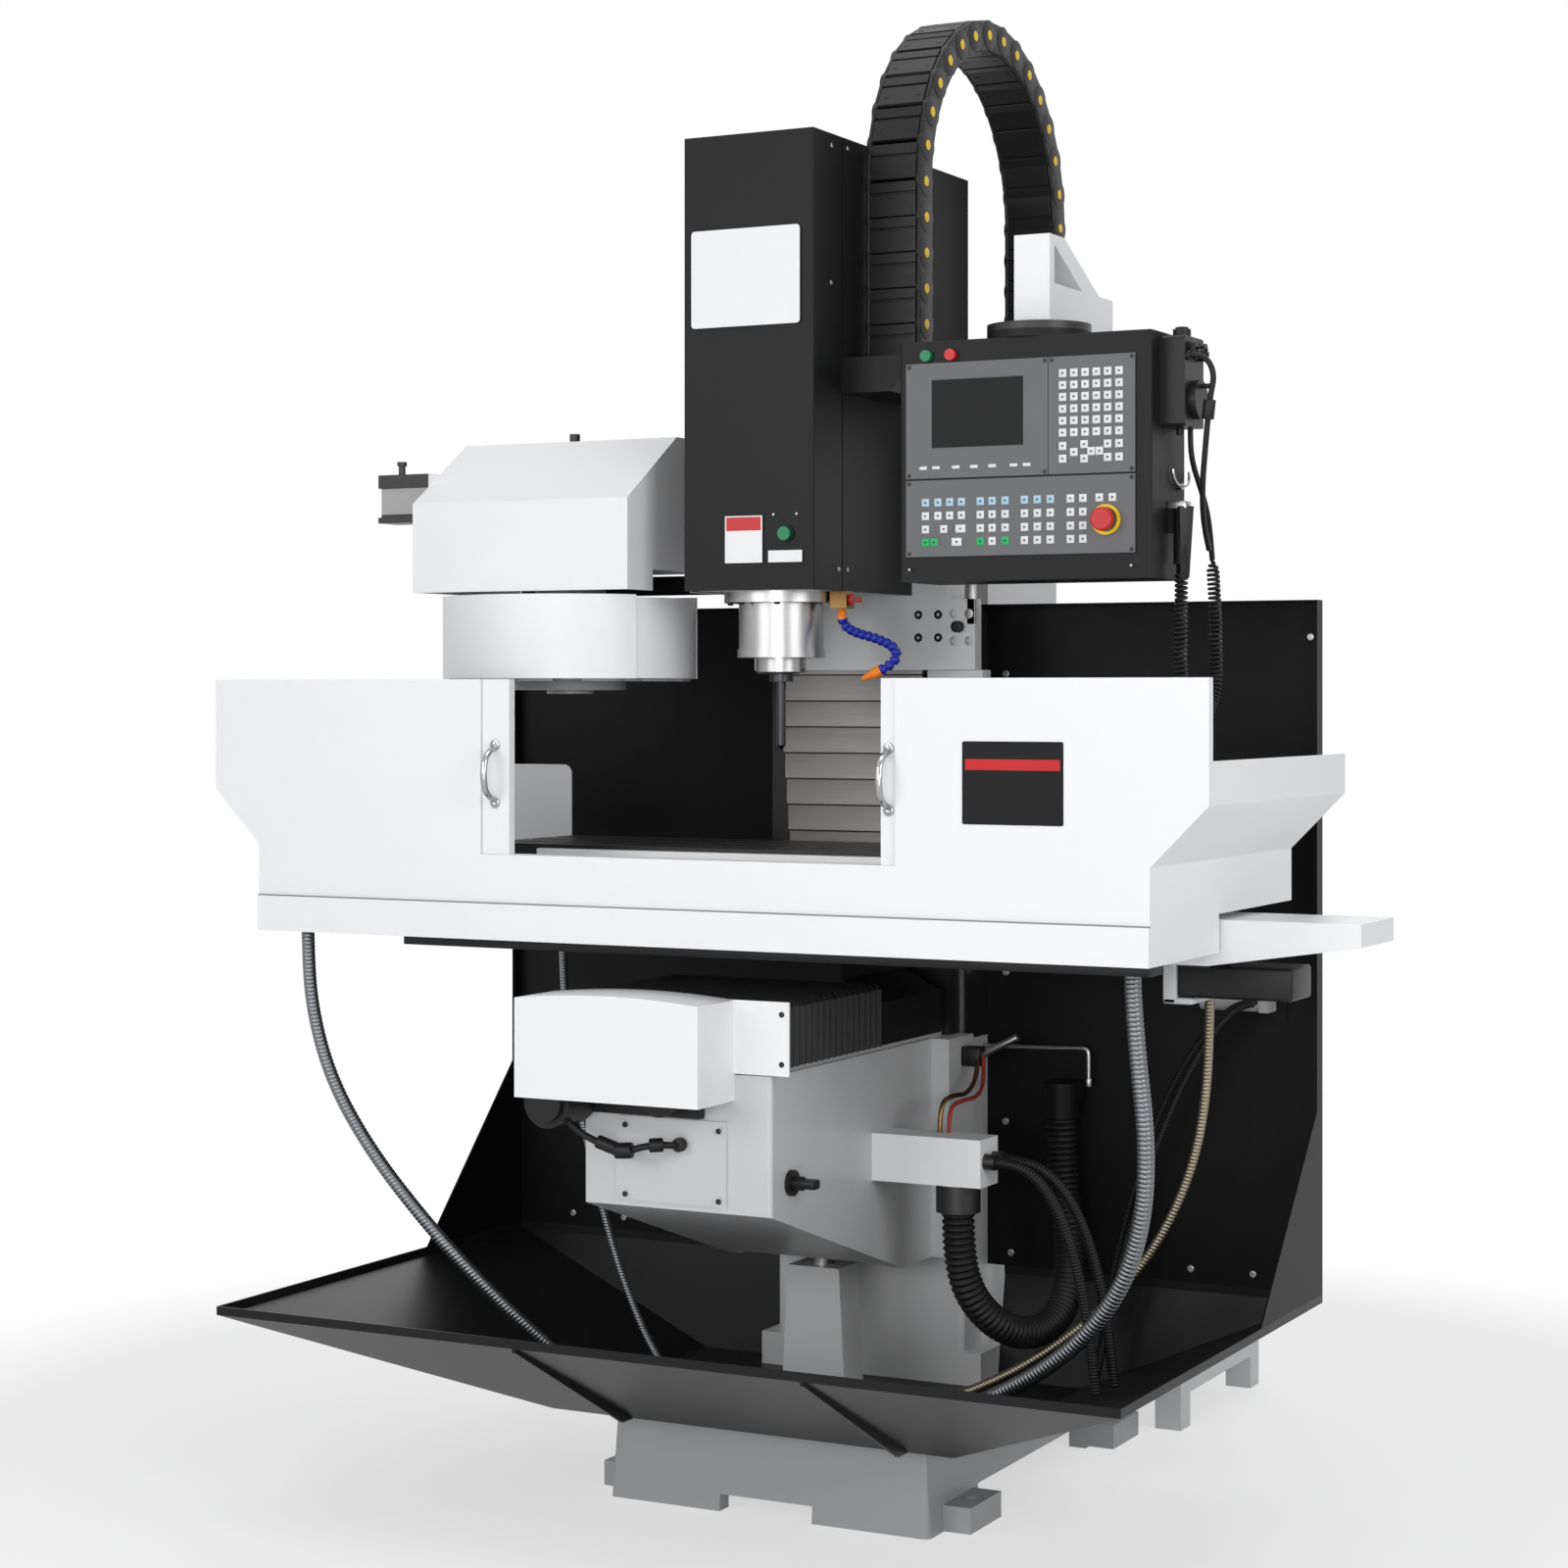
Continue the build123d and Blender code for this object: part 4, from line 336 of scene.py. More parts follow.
looks = {
    "white": powderCoat("whiteCoat", (0.82, 0.825, 0.84), 0.42, vary=0.012),
    "black": powderCoat("blackCoat", (0.0075, 0.0077, 0.0085), 0.46, grain=1200.0, vary=0.12, specular=0.18),
    "tray": powderCoat("trayCoat", (0.011, 0.0112, 0.0122), 0.36, grain=1200.0, vary=0.12, specular=0.16),
    "cast": castPaint("castingPaint", (0.56, 0.565, 0.575)),
    "tank": castPaint("tankPaint", (0.58, 0.59, 0.60), 0.5),
    "panel": powderCoat("panelGrey", (0.105, 0.107, 0.114), 0.5, grain=1500.0, vary=0.06),
    "steel": brushedMetal("groundSteel", (0.40, 0.40, 0.40), 0.3, (1, 1, 12)),
    "bolt": brushedMetal("boltSteel", (0.42, 0.42, 0.42), 0.35, (1, 1, 1), 400.0),
    "chrome": brushedMetal("handleChrome", (0.40, 0.40, 0.405), 0.2, (1, 1, 0.2)),
    "dark": brushedMetal("oiledIron", (0.045, 0.043, 0.042), 0.45, (0.06, 1, 1), 320.0),
    "tool": brushedMetal("toolSteel", (0.05, 0.05, 0.055), 0.36, (1, 1, 5)),
    "disc": powderCoat("discGrey", (0.29, 0.293, 0.30), 0.5, vary=0.06, specular=0.3),
    "brass": brushedMetal("valveBrass", (0.20, 0.115, 0.045), 0.34, (1, 1, 1)),
    "hoseSteel": brushedMetal("hoseSteel", (0.19, 0.197, 0.21), 0.36, (1, 1, 1)),
    "hoseBronze": brushedMetal("hoseBronze", (0.25, 0.225, 0.165), 0.38, (1, 1, 1)),
    "plastic": mouldedPlastic("blackPlastic", (0.010, 0.010, 0.011), 0.42),
    "rubber": mouldedPlastic("blackRubber", (0.008, 0.008, 0.0085), 0.5, 400.0),
    "green": mouldedPlastic("signalGreen", (0.0, 0.19, 0.07), 0.34, coat=0.1),
    "red": mouldedPlastic("signalRed", (0.52, 0.012, 0.015), 0.34, coat=0.1),
    "yellow": mouldedPlastic("signalYellow", (0.80, 0.52, 0.004), 0.38, coat=0.1),
    "blue": mouldedPlastic("hoseBlue", (0.006, 0.018, 0.30), 0.32, coat=0.15),
    "orange": mouldedPlastic("nozzleOrange", (0.80, 0.21, 0.012), 0.38, coat=0.1),
    "keyWhite": mouldedPlastic("keyWhite", (0.74, 0.75, 0.77), 0.4),
    "keyBlue": mouldedPlastic("keyBlue", (0.42, 0.60, 0.72), 0.4),
    "keyGreen": mouldedPlastic("keyGreen", (0.02, 0.42, 0.14), 0.4),
    "mark": mouldedPlastic("keyMark", (0.008, 0.008, 0.009), 0.5, specular=0.15),
    "redPipe": mouldedPlastic("redPipe", (0.30, 0.03, 0.022), 0.4),
    "plate": powderCoat("barePlate", (0.80, 0.805, 0.82), 0.4, vary=0.01),
    "pleat": mouldedPlastic("pleatCloth", (0.014, 0.014, 0.015), 0.5, 500.0),
    "screen": mouldedPlastic("screenGlass", (0.004, 0.0045, 0.005), 0.3, specular=0.1),
}


# finishes that change over one piece, by height and place

def over(made, color, test):
    made.tone = made.mix(test(made), made.tone, color)
    made.set("Base Color", made.tone)
    return made


def within(m, letter, low, high):
    return (m.axis(letter) > low) * (m.axis(letter) < high)


white, nearBlack, bare, castGrey = (0.82, 0.825, 0.84), (0.009, 0.009, 0.0098), (0.36, 0.36, 0.36), (0.56, 0.565, 0.575)
# slat: colour, height of the lowest slat, slat pitch, and the share of each slat taken by the painted shade line at its
# lower edge
slat = dict(color=(0.24, 0.235, 0.228), low=1.0167, pitch=0.045, line=0.055)


# painted shade: each slat is painted lighter at its lower edge and darker at its top, and a near-black line at its
# lower edge paints the shade in the gap where the slats overlap
def slatSheetPaintedShade():
    made = brushedMetal("slatSheetPaintedShade", slat["color"], 0.52, (0.05, 1, 1))
    climb = ((made.axis("Z") - slat["low"]) / slat["pitch"]).math("FRACT")
    made.tone = made.mix(climb, shade(slat["color"], 1.15), shade(slat["color"], 0.82))
    return over(made, shade(slat["color"], 0.1), lambda m: climb < slat["line"])


looks["slat"] = slatSheetPaintedShade()
# the roof carries a black knob and an air valve with a bare body
looks["roof"] = over(powderCoat("roofCoat", white, 0.42, vary=0.012), bare, lambda m: m.axis("X") < -0.6282)
over(looks["roof"], nearBlack, lambda m: ((m.axis("X") < -0.6282) * (1 - within(m, "Z", 1.655, 1.6995)))
     .math("MAXIMUM", m.axis("Z") > 1.7785))
looks["wall"] = over(powderCoat("wallCoat", (0.0065, 0.0066, 0.0072), 0.42, vary=0.012, specular=0.1), bare,
                     lambda m: (m.axis("Y") < 0.0555) * within(m, "Z", 0.78, 0.88) * within(m, "X", 0.57, 0.75))
looks["box"] = over(powderCoat("junctionCoat", white, 0.42, vary=0.012), nearBlack,
                    lambda m: (m.axis("Z") < 0.5548).math("MAXIMUM", m.axis("X") > 0.3582))
looks["estop"] = over(mouldedPlastic("emergencyCap", (0.52, 0.012, 0.015), 0.34, coat=0.1), (0.80, 0.52, 0.004),
                      lambda m: m.axis("Y") > -0.4945)
# black guards cover the front of the column above the knee; the pedestal is paler than the base below the tray
looks["column"] = over(castPaint("columnPaint", castGrey), nearBlack,
                       lambda m: (m.axis("Z") > 0.75) * (m.axis("Y") < 0.06))
looks["base"] = over(castPaint("basePaint", (0.36, 0.365, 0.375), 0.5), castGrey, lambda m: m.axis("Z") > 0.155)
looks["front"] = over(powderCoat("frontCoat", white, 0.42, vary=0.012), (0.2, 0.2, 0.205),
                      lambda m: within(m, "Z", 1.0116, 1.0136))
looks["arm"] = over(powderCoat("armCoat", white, 0.42, vary=0.012), nearBlack, lambda m: within(m, "Z", 1.905, 1.9246))
# the shaft's foot below the tool disc has the disc's colour
looks["carriage"] = over(castPaint("carriagePaint", castGrey), looks["disc"].mat.diffuse_color[:3],
                         lambda m: m.axis("Z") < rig.box("tool_disc")[0].z)

nodeLooks = {
    "base_casting": "base", "chip_tray": "tray", "splash_wall": "wall", "column": "column", "column_top_cover": "black",
    "coolant_tank": "tank", "magazine_arm": "cast", "magazine_roof": "roof", "controller_arm": "arm",
    "z_way_cover": "slat", "y_way_cover": "black", "drag_chain": "plastic", "z_screw": "steel", "lift_screw": "steel",
    "knee_casting": "cast", "knee_front_cover": "cast", "junction_box": "box", "lift_crank": "plastic",
    "y_motor_cover": "white", "y_motor": "plastic", "y_screw": "steel", "saddle_casting": "black", "table": "dark",
    "enclosure_front": "front", "enclosure_left_wall": "white", "enclosure_right_wall": "white",
    "enclosure_floor": "white", "x_end_cover": "white", "x_screw": "steel", "door_left": "white", "door_right": "white",
    "door_handle_left": "chrome", "door_handle_right": "chrome", "head_casting": "cast", "head_cover": "black",
    "spindle_housing": "steel", "coolant_valve": "brass", "valve_lever": "red", "coolant_hose": "blue",
    "head_button": "green", "spindle": "steel", "drill": "tool", "magazine_carriage": "carriage", "drum_skirt": "white",
    "drum_shutter": "white", "tool_disc": "disc", "controller_box": "black", "control_panel": "panel",
    "start_button": "green", "stop_button": "red", "estop_button": "estop", "pendant": "plastic", "handwheel": "plastic",
    "drain_hose_left": "hoseSteel", "drain_hose_right": "hoseSteel", "coolant_line": "hoseBronze",
    "corrugated_hose": "rubber", "conduit_front": "rubber", "conduit_rear": "rubber", "pendant_cord": "rubber",
}
for name, look in nodeLooks.items():
    for spot in range(max(1, len(nodes[name].material_slots))):
        if nodes[name].material_slots:
            nodes[name].material_slots[spot].material = looks[look].mat
        else:
            nodes[name].data.materials.append(looks[look].mat)
print("finishes on", len(nodeLooks), "nodes")


# modelling helpers

def deselect():
    if bpy.context.object and bpy.context.object.mode != "OBJECT":
        bpy.ops.object.mode_set(mode="OBJECT")
    bpy.ops.object.select_all(action="DESELECT")


def pick(*pieces):
    deselect()
    for piece in pieces:
        piece.select_set(True)
    bpy.context.view_layer.objects.active = pieces[0]
    return pieces[0]


def settle(piece):
    pick(piece)
    bpy.ops.object.transform_apply(location=True, rotation=True, scale=True)
    return piece


def roundEdges(piece, width, segments=2):
    pick(piece)
    bevel = piece.modifiers.new("edges", "BEVEL")
    bevel.width = width
    bevel.segments = segments
    bevel.limit_method = "ANGLE"
    bevel.angle_limit = math.radians(40)
    bpy.ops.object.modifier_apply(modifier=bevel.name)
    return piece


def block(low, high, edge=0.001, segments=2):
    deselect()
    middle = [(a + b) / 2 for a, b in zip(low, high)]
    bpy.ops.mesh.primitive_cube_add(size=1, location=middle)
    piece = bpy.context.object
    piece.scale = [b - a for a, b in zip(low, high)]
    settle(piece)
    return roundEdges(piece, edge, segments)


def rod(start, end, radius, edge=0.0006, sides=24):
    start, end = Vector(start), Vector(end)
    run = end - start
    deselect()
    bpy.ops.mesh.primitive_cylinder_add(radius=radius, depth=run.length, vertices=sides, location=(start + end) / 2)
    piece = bpy.context.object
    piece.rotation_euler = run.to_track_quat("Z", "Y").to_euler()
    settle(piece)
    return roundEdges(piece, edge, 2) if edge else piece


def join(name, pieces):
    pick(*pieces)
    if len(pieces) > 1:
        bpy.ops.object.join()
    piece = bpy.context.object
    piece.name = name
    piece.data.name = name
    return piece


def copyAt(piece, matrix):
    made = piece.copy()
    made.data = piece.data.copy()
    made.matrix_world = matrix @ piece.matrix_world
    scene.collection.objects.link(made)
    return made


def scatter(name, piece, matrices):
    made = [copyAt(piece, matrix) for matrix in matrices]
    bpy.data.objects.remove(piece)
    return settle(join(name, made))


def finish(piece, look, body, slot=None, smooth=35):
    pick(piece)
    bpy.ops.object.shade_smooth_by_angle(angle=math.radians(smooth))
    if isinstance(look, str):
        piece.data.materials.clear()
        piece.data.materials.append(looks[look].mat)
    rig.ride(piece, body)
    if slot:
        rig.slot(piece, slot)
    return piece


# cords: the route's points are the control points of one smooth spline

def splineOf(name, points):
    data = bpy.data.curves.new(name, "CURVE")
    data.dimensions = "3D"
    line = data.splines.new("NURBS")
    line.points.add(len(points) - 1)
    for spot, point in zip(line.points, points):
        spot.co = (*[c / 1000 for c in point], 1)
    line.order_u = 3
    line.use_endpoint_u = True
    line.resolution_u = 16
    made = bpy.data.objects.new(name, data)
    scene.collection.objects.link(made)
    return made


def thicken(curve, radius, resolution=3):
    # the points carry the thickness, so that the curve's own box is true to it
    for spot in curve.data.splines[0].points:
        spot.radius = radius
    curve.data.bevel_depth = 1.0
    curve.data.bevel_resolution = resolution
    curve.data.use_fill_caps = True


def lineOf(spline):
    bpy.context.view_layer.update()
    mesh = bpy.data.meshes.new_from_object(spline.evaluated_get(bpy.context.evaluated_depsgraph_get()))
    points = [v.co.copy() for v in mesh.vertices]
    bpy.data.meshes.remove(mesh)
    return points


def lengthOf(points):
    return sum((b - a).length for a, b in zip(points, points[1:]))


def windings(name, spline, profile, pitch, sides=14):
    # one turn of the hose wall, turned from its profile, repeated along the spline
    deselect()
    line = lineOf(spline)
    run = lengthOf(line)
    count = max(1, round(run / pitch))
    step = run / count
    data = bpy.data.meshes.new(name)
    data.from_pydata([(share * step, radius, 0) for share, radius in profile], [
        (k, k + 1) for k in range(len(profile) - 1)], [])
    piece = bpy.data.objects.new(name, data)
    scene.collection.objects.link(piece)
    pick(piece)
    bpy.ops.object.mode_set(mode="EDIT")
    bpy.ops.mesh.select_all(action="SELECT")
    bpy.ops.mesh.spin(steps=sides, angle=math.tau, center=(0, 0, 0), axis=(1, 0, 0))
    bpy.ops.mesh.remove_doubles(threshold=1e-6)
    bpy.ops.mesh.normals_make_consistent(inside=False)
    bpy.ops.object.mode_set(mode="OBJECT")
    rows = piece.modifiers.new("turns", "ARRAY")
    rows.fit_type = "FIXED_COUNT"
    rows.count = count
    rows.use_relative_offset = False
    rows.use_constant_offset = True
    rows.constant_offset_displace = (step, 0, 0)
    rows.use_merge_vertices = True
    rows.merge_threshold = 1e-5
    bpy.ops.object.modifier_apply(modifier=rows.name)
    bend = piece.modifiers.new("route", "CURVE")
    bend.object = spline
    bend.deform_axis = "POS_X"
    bpy.ops.object.modifier_apply(modifier=bend.name)
    bpy.data.objects.remove(spline)
    bpy.ops.object.mode_set(mode="EDIT")
    bpy.ops.mesh.select_all(action="DESELECT")
    bpy.ops.mesh.select_non_manifold()
    bpy.ops.mesh.edge_face_add()
    bpy.ops.mesh.select_all(action="SELECT")
    bpy.ops.mesh.normals_make_consistent(inside=False)
    bpy.ops.object.mode_set(mode="OBJECT")
    return piece, line


stripProfile = [(0, 0.93), (0.12, 0.99), (0.5, 1.0), (0.86, 0.99), (1, 0.93)]
ringProfile = [(0, 0.86), (0.18, 0.9), (0.34, 0.985), (0.6, 1.0), (0.82, 0.93), (1, 0.86)]

hoses = {
    "drain_hose_left": dict(
        radius=0.011, pitch=0.0065, profile=stripProfile, look="hoseSteel", slot="metal_hose", farEnd="bare",
        route=[(-715, -708, 1033), (-715, -708, 930), (-706, -708, 820), (-668, -706, 705), (-596, -700, 596),
               (-506, -686, 492), (-424, -656, 398), (-358, -604, 312), (-312, -534, 238), (-284, -456, 188),
               (-262, -380, 168)]),
    "drain_hose_right": dict(
        radius=0.013, pitch=0.007, profile=stripProfile, look="hoseSteel", slot="metal_hose", farEnd="bare",
        route=[(715, -640, 1033), (715, -640, 930), (724, -638, 810), (736, -632, 690), (728, -622, 575),
               (692, -608, 472), (628, -590, 388), (548, -572, 322), (456, -550, 268), (364, -518, 222),
               (276, -478, 190), (190, -430, 170)]),
    "coolant_line": dict(
        radius=0.008, pitch=0.006, profile=stripProfile, look="hoseBronze", slot="bronze_hose", farEnd="bare",
        route=[(673, -178, 1033), (673, -178, 930), (672, -178, 820), (668, -180, 710), (652, -184, 605),
               (616, -190, 506), (562, -198, 416), (492, -208, 338), (412, -222, 272), (326, -240, 218),
               (238, -264, 180), (152, -296, 165)]),
    "corrugated_hose": dict(
        radius=0.027, pitch=0.0105, profile=ringProfile, look="rubber", slot="black_rubber", farEnd="object",
        route=[(304, -343, 510), (304, -343, 440), (318, -326, 368), (350, -276, 312), (378, -196, 290),
               (390, -110, 312), (380, -44, 372), (356, -2, 446), (336, 17, 530), (336, 17, 620)]),
    "conduit_front": dict(
        radius=0.009, pitch=0.0052, profile=ringProfile, look="rubber", slot="black_rubber", farEnd="bare",
        route=[(378, -359, 596), (412, -359, 596), (450, -358, 574), (480, -352, 530), (500, -344, 470),
               (514, -334, 400), (524, -324, 324), (531, -315, 233)]),
    "conduit_rear": dict(
        radius=0.009, pitch=0.0052, profile=ringProfile, look="rubber", slot="black_rubber", farEnd="bare",
        route=[(378, -327, 596), (414, -327, 596), (456, -324, 578), (490, -316, 536), (514, -306, 476),
               (530, -296, 406), (540, -286, 330), (547, -277, 240)]),
    "drain_hose_thin": dict(
        radius=0.007, pitch=0.0052, profile=stripProfile, look="hoseSteel", slot="metal_hose", farEnd="bare",
        route=[(-500, -250, 1033), (-500, -250, 930), (-497, -250, 830), (-486, -250, 730), (-466, -250, 630),
               (-442, -250, 535), (-416, -252, 445), (-386, -256, 360), (-350, -262, 284), (-312, -270, 222),
               (-272, -280, 178)]),
    "sleeve_cable_a": dict(
        radius=0.006, pitch=0.0046, profile=ringProfile, look="rubber", slot="black_rubber", farEnd="bare",
        route=[(692, -2, 836), (664, -4, 834), (628, -6, 806), (588, -8, 758), (552, -10, 698), (520, -12, 628),
               (494, -14, 552), (470, -16, 474), (450, -18, 394), (434, -20, 316), (424, -24, 246), (418, -28, 190)]),
    "sleeve_cable_b": dict(
        radius=0.006, pitch=0.0046, profile=ringProfile, look="rubber", slot="black_rubber", farEnd="bare",
        route=[(692, -16, 834), (668, -18, 830), (634, -22, 798), (600, -26, 748), (568, -28, 688), (538, -30, 618),
               (510, -32, 544), (486, -34, 466), (464, -36, 388), (446, -38, 312), (434, -42, 246), (426, -46, 193)]),
}
for name, hose in hoses.items():
    profile = [(share, r * hose["radius"]) for share, r in hose["profile"]]
    piece, line = windings(name + "_turns", splineOf(name + "_route", hose["route"]), profile, hose["pitch"])
    if name in nodes:
        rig.replaces(piece, name)
    piece.data.materials.append(looks[hose["look"]].mat)
    pick(piece)
    bpy.ops.object.shade_smooth_by_angle(angle=math.radians(60))
    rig.slot(piece, hose["slot"])
    if name in ("corrugated_hose", "conduit_front", "conduit_rear"):
        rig.blend(piece, "frame", "knee", start=line[-1], end=line[0])
    elif name.startswith("sleeve"):
        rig.ride(piece, "frame")
    else:
        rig.ride(piece, "work_table")
        drop = 0.12 / (line[0].z - line[-1].z)
        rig.squash(piece, "knee_lift", axis=(0, 0, 1), anchor=line[0], keep=1 - drop)
    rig.cord(piece, exit=line[0], length=lengthOf(line), diameter=2 * hose["radius"], far_end=hose["farEnd"],
            stiffness="stiff", lay="hanging", path=line)
print("hoses laid:", len(hoses))


def frames(line):
    # points and two cross directions carried along the line
    out = []
    side = Vector((1, 0, 0))
    for place, point in enumerate(line):
        ahead = line[min(place + 1, len(line) - 1)] - line[max(place - 1, 0)]
        ahead.normalize()
        side = (side - ahead * side.dot(ahead)).normalized()
        out.append((point, side.copy(), ahead.cross(side)))
    return out


def spacedLine(line, step):
    out = [line[0].copy()]
    left = step
    for a, b in zip(line, line[1:]):
        run = (b - a).length
        done = 0.0
        while run - done >= left:
            done += left
            out.append(a.lerp(b, done / run))
            left = step
        left -= run - done
    return out


curly = dict(
    radius=0.011, wire=0.0026, pitch=0.0074, pointsPerTurn=12,
    route=[(704, -398, 1545), (704, -398, 1482), (703, -399, 1416), (704, -398, 1352), (705, -354, 1310),
           (707, -293, 1310), (708, -250, 1354), (709, -252, 1420), (710, -260, 1490), (711, -276, 1556)],
    lead=[(711, -276, 1556), (711.6, -286, 1597), (711, -302, 1636), (708, -326, 1670), (706, -350, 1700),
          (705, -360, 1728), (705, -360, 1755)], leadRadius=0.0045)


def curlyCord():
    guide = splineOf("curlyGuide", curly["route"])
    line = lineOf(guide)
    bpy.data.objects.remove(guide)
    path = frames(spacedLine(line, curly["pitch"] / curly["pointsPerTurn"]))
    reach = curly["radius"] - curly["wire"]
    ramp = 2 * curly["pointsPerTurn"]
    turns = []
    for place, (point, side, rise) in enumerate(path):
        angle = math.tau * place / curly["pointsPerTurn"]
        near = min(place, len(path) - 1 - place)
        out = reach * min(1.0, near / ramp)
        turns.append(point + side * (out * math.cos(angle)) + rise * (out * math.sin(angle)))
    cord = splineOf("pendant_cord_curl", [p * 1000 for p in turns])
    cord.data.splines[0].resolution_u = 2
    thicken(cord, curly["wire"], 1)
    cord.data.materials.append(looks["rubber"].mat)
    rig.ride(cord, "control")
    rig.replaces(cord, "pendant_cord")
    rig.slot(cord, "black_rubber")
    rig.cord(cord, exit=turns[0], length=lengthOf(lineOfBare(cord)), diameter=2 * curly["wire"], far_end="object",
            stiffness="limp", lay="hanging")
    lead = splineOf("pendant_lead", curly["lead"])
    span = lineOf(lead)
    thicken(lead, curly["leadRadius"])
    lead.data.materials.append(looks["rubber"].mat)
    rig.ride(lead, "control")
    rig.slot(lead, "black_rubber")
    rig.cord(lead, exit=span[-1], length=lengthOf(span), diameter=2 * curly["leadRadius"], far_end="object",
            stiffness="limp", lay="hanging")


def lineOfBare(cord):
    cord.data.bevel_depth = 0
    line = lineOf(cord)
    cord.data.bevel_depth = 1.0
    return line


curlyCord()
print("pendant cord wound")


# pieces that stretch: the chain follows the head, the slats and pleats open with their slides

chain = dict(thick=0.054, endZ=1.962, front=5, loop=15, rear=4, wall=0.009, gap=0.0008, pin=0.0085,
             lid=0.004, lipShare=0.3, slot=0.004)


def chainLink(width, pitch):
    half, deep, reach = width / 2, chain["thick"] / 2, pitch / 2
    wall, lid = chain["wall"], chain["lid"]
    low, high = -reach + chain["gap"], reach - chain["gap"]
    lip = low + (high - low) * chain["lipShare"]
    parts = []
    for side in (-1, 1):
        inner, outer = sorted((side * (half - wall), side * (half - lid / 4)))
        parts.append(block((inner, -deep + lid / 4, low), (outer, deep - lid / 4, high), 0.004, 3))
        parts.append(rod((side * (half - wall), 0, reach), (side * half, 0, reach), deep - lid / 4, 0.0012, 28))
    for face in (-1, 1):
        back, skin, front = face * (deep - 2 * lid), face * (deep - lid), face * (deep - 0.0006)
        spans = [(low, high, back, skin), (low, lip, skin, front), (lip + chain["slot"], high, skin, front)]
        for bottom, top, a, b in spans:
            near, far = sorted((a, b))
            parts.append(block((-half + wall, near, bottom), (half - wall, far, top), 0.0008, 1))
        for x in (-half * 0.62, -half * 0.54, half * 0.54, half * 0.62):
            spot = (lip + high) / 2 + reach * 0.12
            parts.append(rod((x, skin, spot), (x, face * deep, spot), 0.0022, 0, 8))
    return join("chainLink", parts)


def chainPlaces():
    low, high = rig.box("drag_chain")
    mid = (low.x + high.x) / 2
    radius = (high.y - low.y - chain["thick"]) / 2
    centre = Vector((mid, (low.y + high.y) / 2, high.z - radius - chain["thick"] / 2))
    across = Vector((1, 0, 0))
    stops = []
    for count, fromZ, toZ, face in ((chain["front"], low.z, centre.z, -1), (chain["rear"], chain["endZ"], centre.z, 1)):
        for place in range(count):
            z = fromZ + (toZ - fromZ) * (place + 0.5) / count
            stops.append((Vector((mid, centre.y + face * radius, z)), Vector((0, face, 0)), (toZ - fromZ) / count))
    for place in range(chain["loop"]):
        turn = math.pi * (place + 0.5) / chain["loop"]
        out = Vector((0, -math.cos(turn), math.sin(turn)))
        stops.append((centre + out * radius, out, math.pi * radius / chain["loop"]))
    for spot, out, pitch in stops:
        along = across.cross(out)
        turnTo = Matrix((across, out, along)).transposed().to_4x4()
        yield Matrix.Translation(spot) @ turnTo @ Matrix.Diagonal((1, 1, pitch / chain["pitch"], 1))


def dragChain():
    low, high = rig.box("drag_chain")
    width = high.x - low.x
    radius = (high.y - low.y - chain["thick"]) / 2
    chain["pitch"] = math.pi * radius / chain["loop"]
    places = list(chainPlaces())
    pins = [rod((side * (width / 2 - 0.002), 0, chain["pitch"] / 2), (side * (width / 2 + 0.0006), 0, chain["pitch"] / 2),
                chain["pin"], 0.0004, 20) for side in (-1, 1)]
    pins = scatter("drag_chain_pins", join("pin", pins), places)
    links = scatter("drag_chain_links", chainLink(width, chain["pitch"]), places)
    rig.replaces(links, "drag_chain")
    for piece, look in ((links, "plastic"), (pins, "yellow")):
        piece.data.materials.clear()
        piece.data.materials.append(looks[look].mat)
        pick(piece)
        bpy.ops.object.shade_smooth_by_angle(angle=math.radians(35))
        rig.slot(piece, "black_plastic")
        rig.blend(piece, "frame", "head", start=(0, high.y - chain["thick"] / 2, high.z),
                 end=(0, low.y + chain["thick"] / 2, high.z))


def zSlats():
    low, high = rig.box("z_way_cover")
    piece = bpy.data.objects.new("z_way_cover_slats", nodes["z_way_cover"].data.copy())
    scene.collection.objects.link(piece)
    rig.replaces(piece, "z_way_cover")
    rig.slot(piece, "slat_grey")
    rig.blend(piece, "frame", "head", start=(0, low.y, low.z), end=(0, low.y, high.z))


pleats = dict(count=16, dip=0.006, lip=0.0012)


def yPleats():
    low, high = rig.box("y_way_cover")
    run = (high.y - low.y) / pleats["count"]
    deselect()
    bpy.ops.mesh.primitive_cube_add(size=1, location=[(a + b) / 2 for a, b in zip(low, high)])
    fold = bpy.context.object
    fold.scale = (high.x - low.x, run - 0.0002, high.z - low.z)
    fold.location.y = low.y + run / 2
    settle(fold)
    roundEdges(fold, run * 0.42, 1)
    bottom = low.z
    for corner in fold.data.vertices:
        if corner.co.z < bottom + run * 0.5:
            corner.co.z = bottom
    piece = scatter("y_way_cover_pleats", fold, [Matrix.Translation((0, run * k, 0)) for k in range(pleats["count"])])
    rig.replaces(piece, "y_way_cover")
    piece.data.materials.clear()
    piece.data.materials.append(looks["pleat"].mat)
    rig.slot(piece, "black_coat")
    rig.blend(piece, "knee", "saddle", start=(0, low.y, low.z), end=(0, high.y, low.z))


dragChain()
zSlats()
yPleats()
print("chain, slats and pleats made")


# jointed coolant hose with its sleeve and nozzle

blueHose = dict(
    radius=0.0085, pitch=0.0128, sleeve=0.016, nozzle=0.030, tip=0.0035,
    profile=[(0, 0.6), (0.08, 0.66), (0.2, 0.92), (0.42, 1.0), (0.64, 0.97), (0.8, 0.8), (0.9, 0.6), (1, 0.6)],
    route=[(112, -378, 1471), (113, -378, 1460), (136, -386, 1446), (180, -394, 1436), (222, -402, 1420),
           (224, -410, 1394), (196, -415, 1382)])


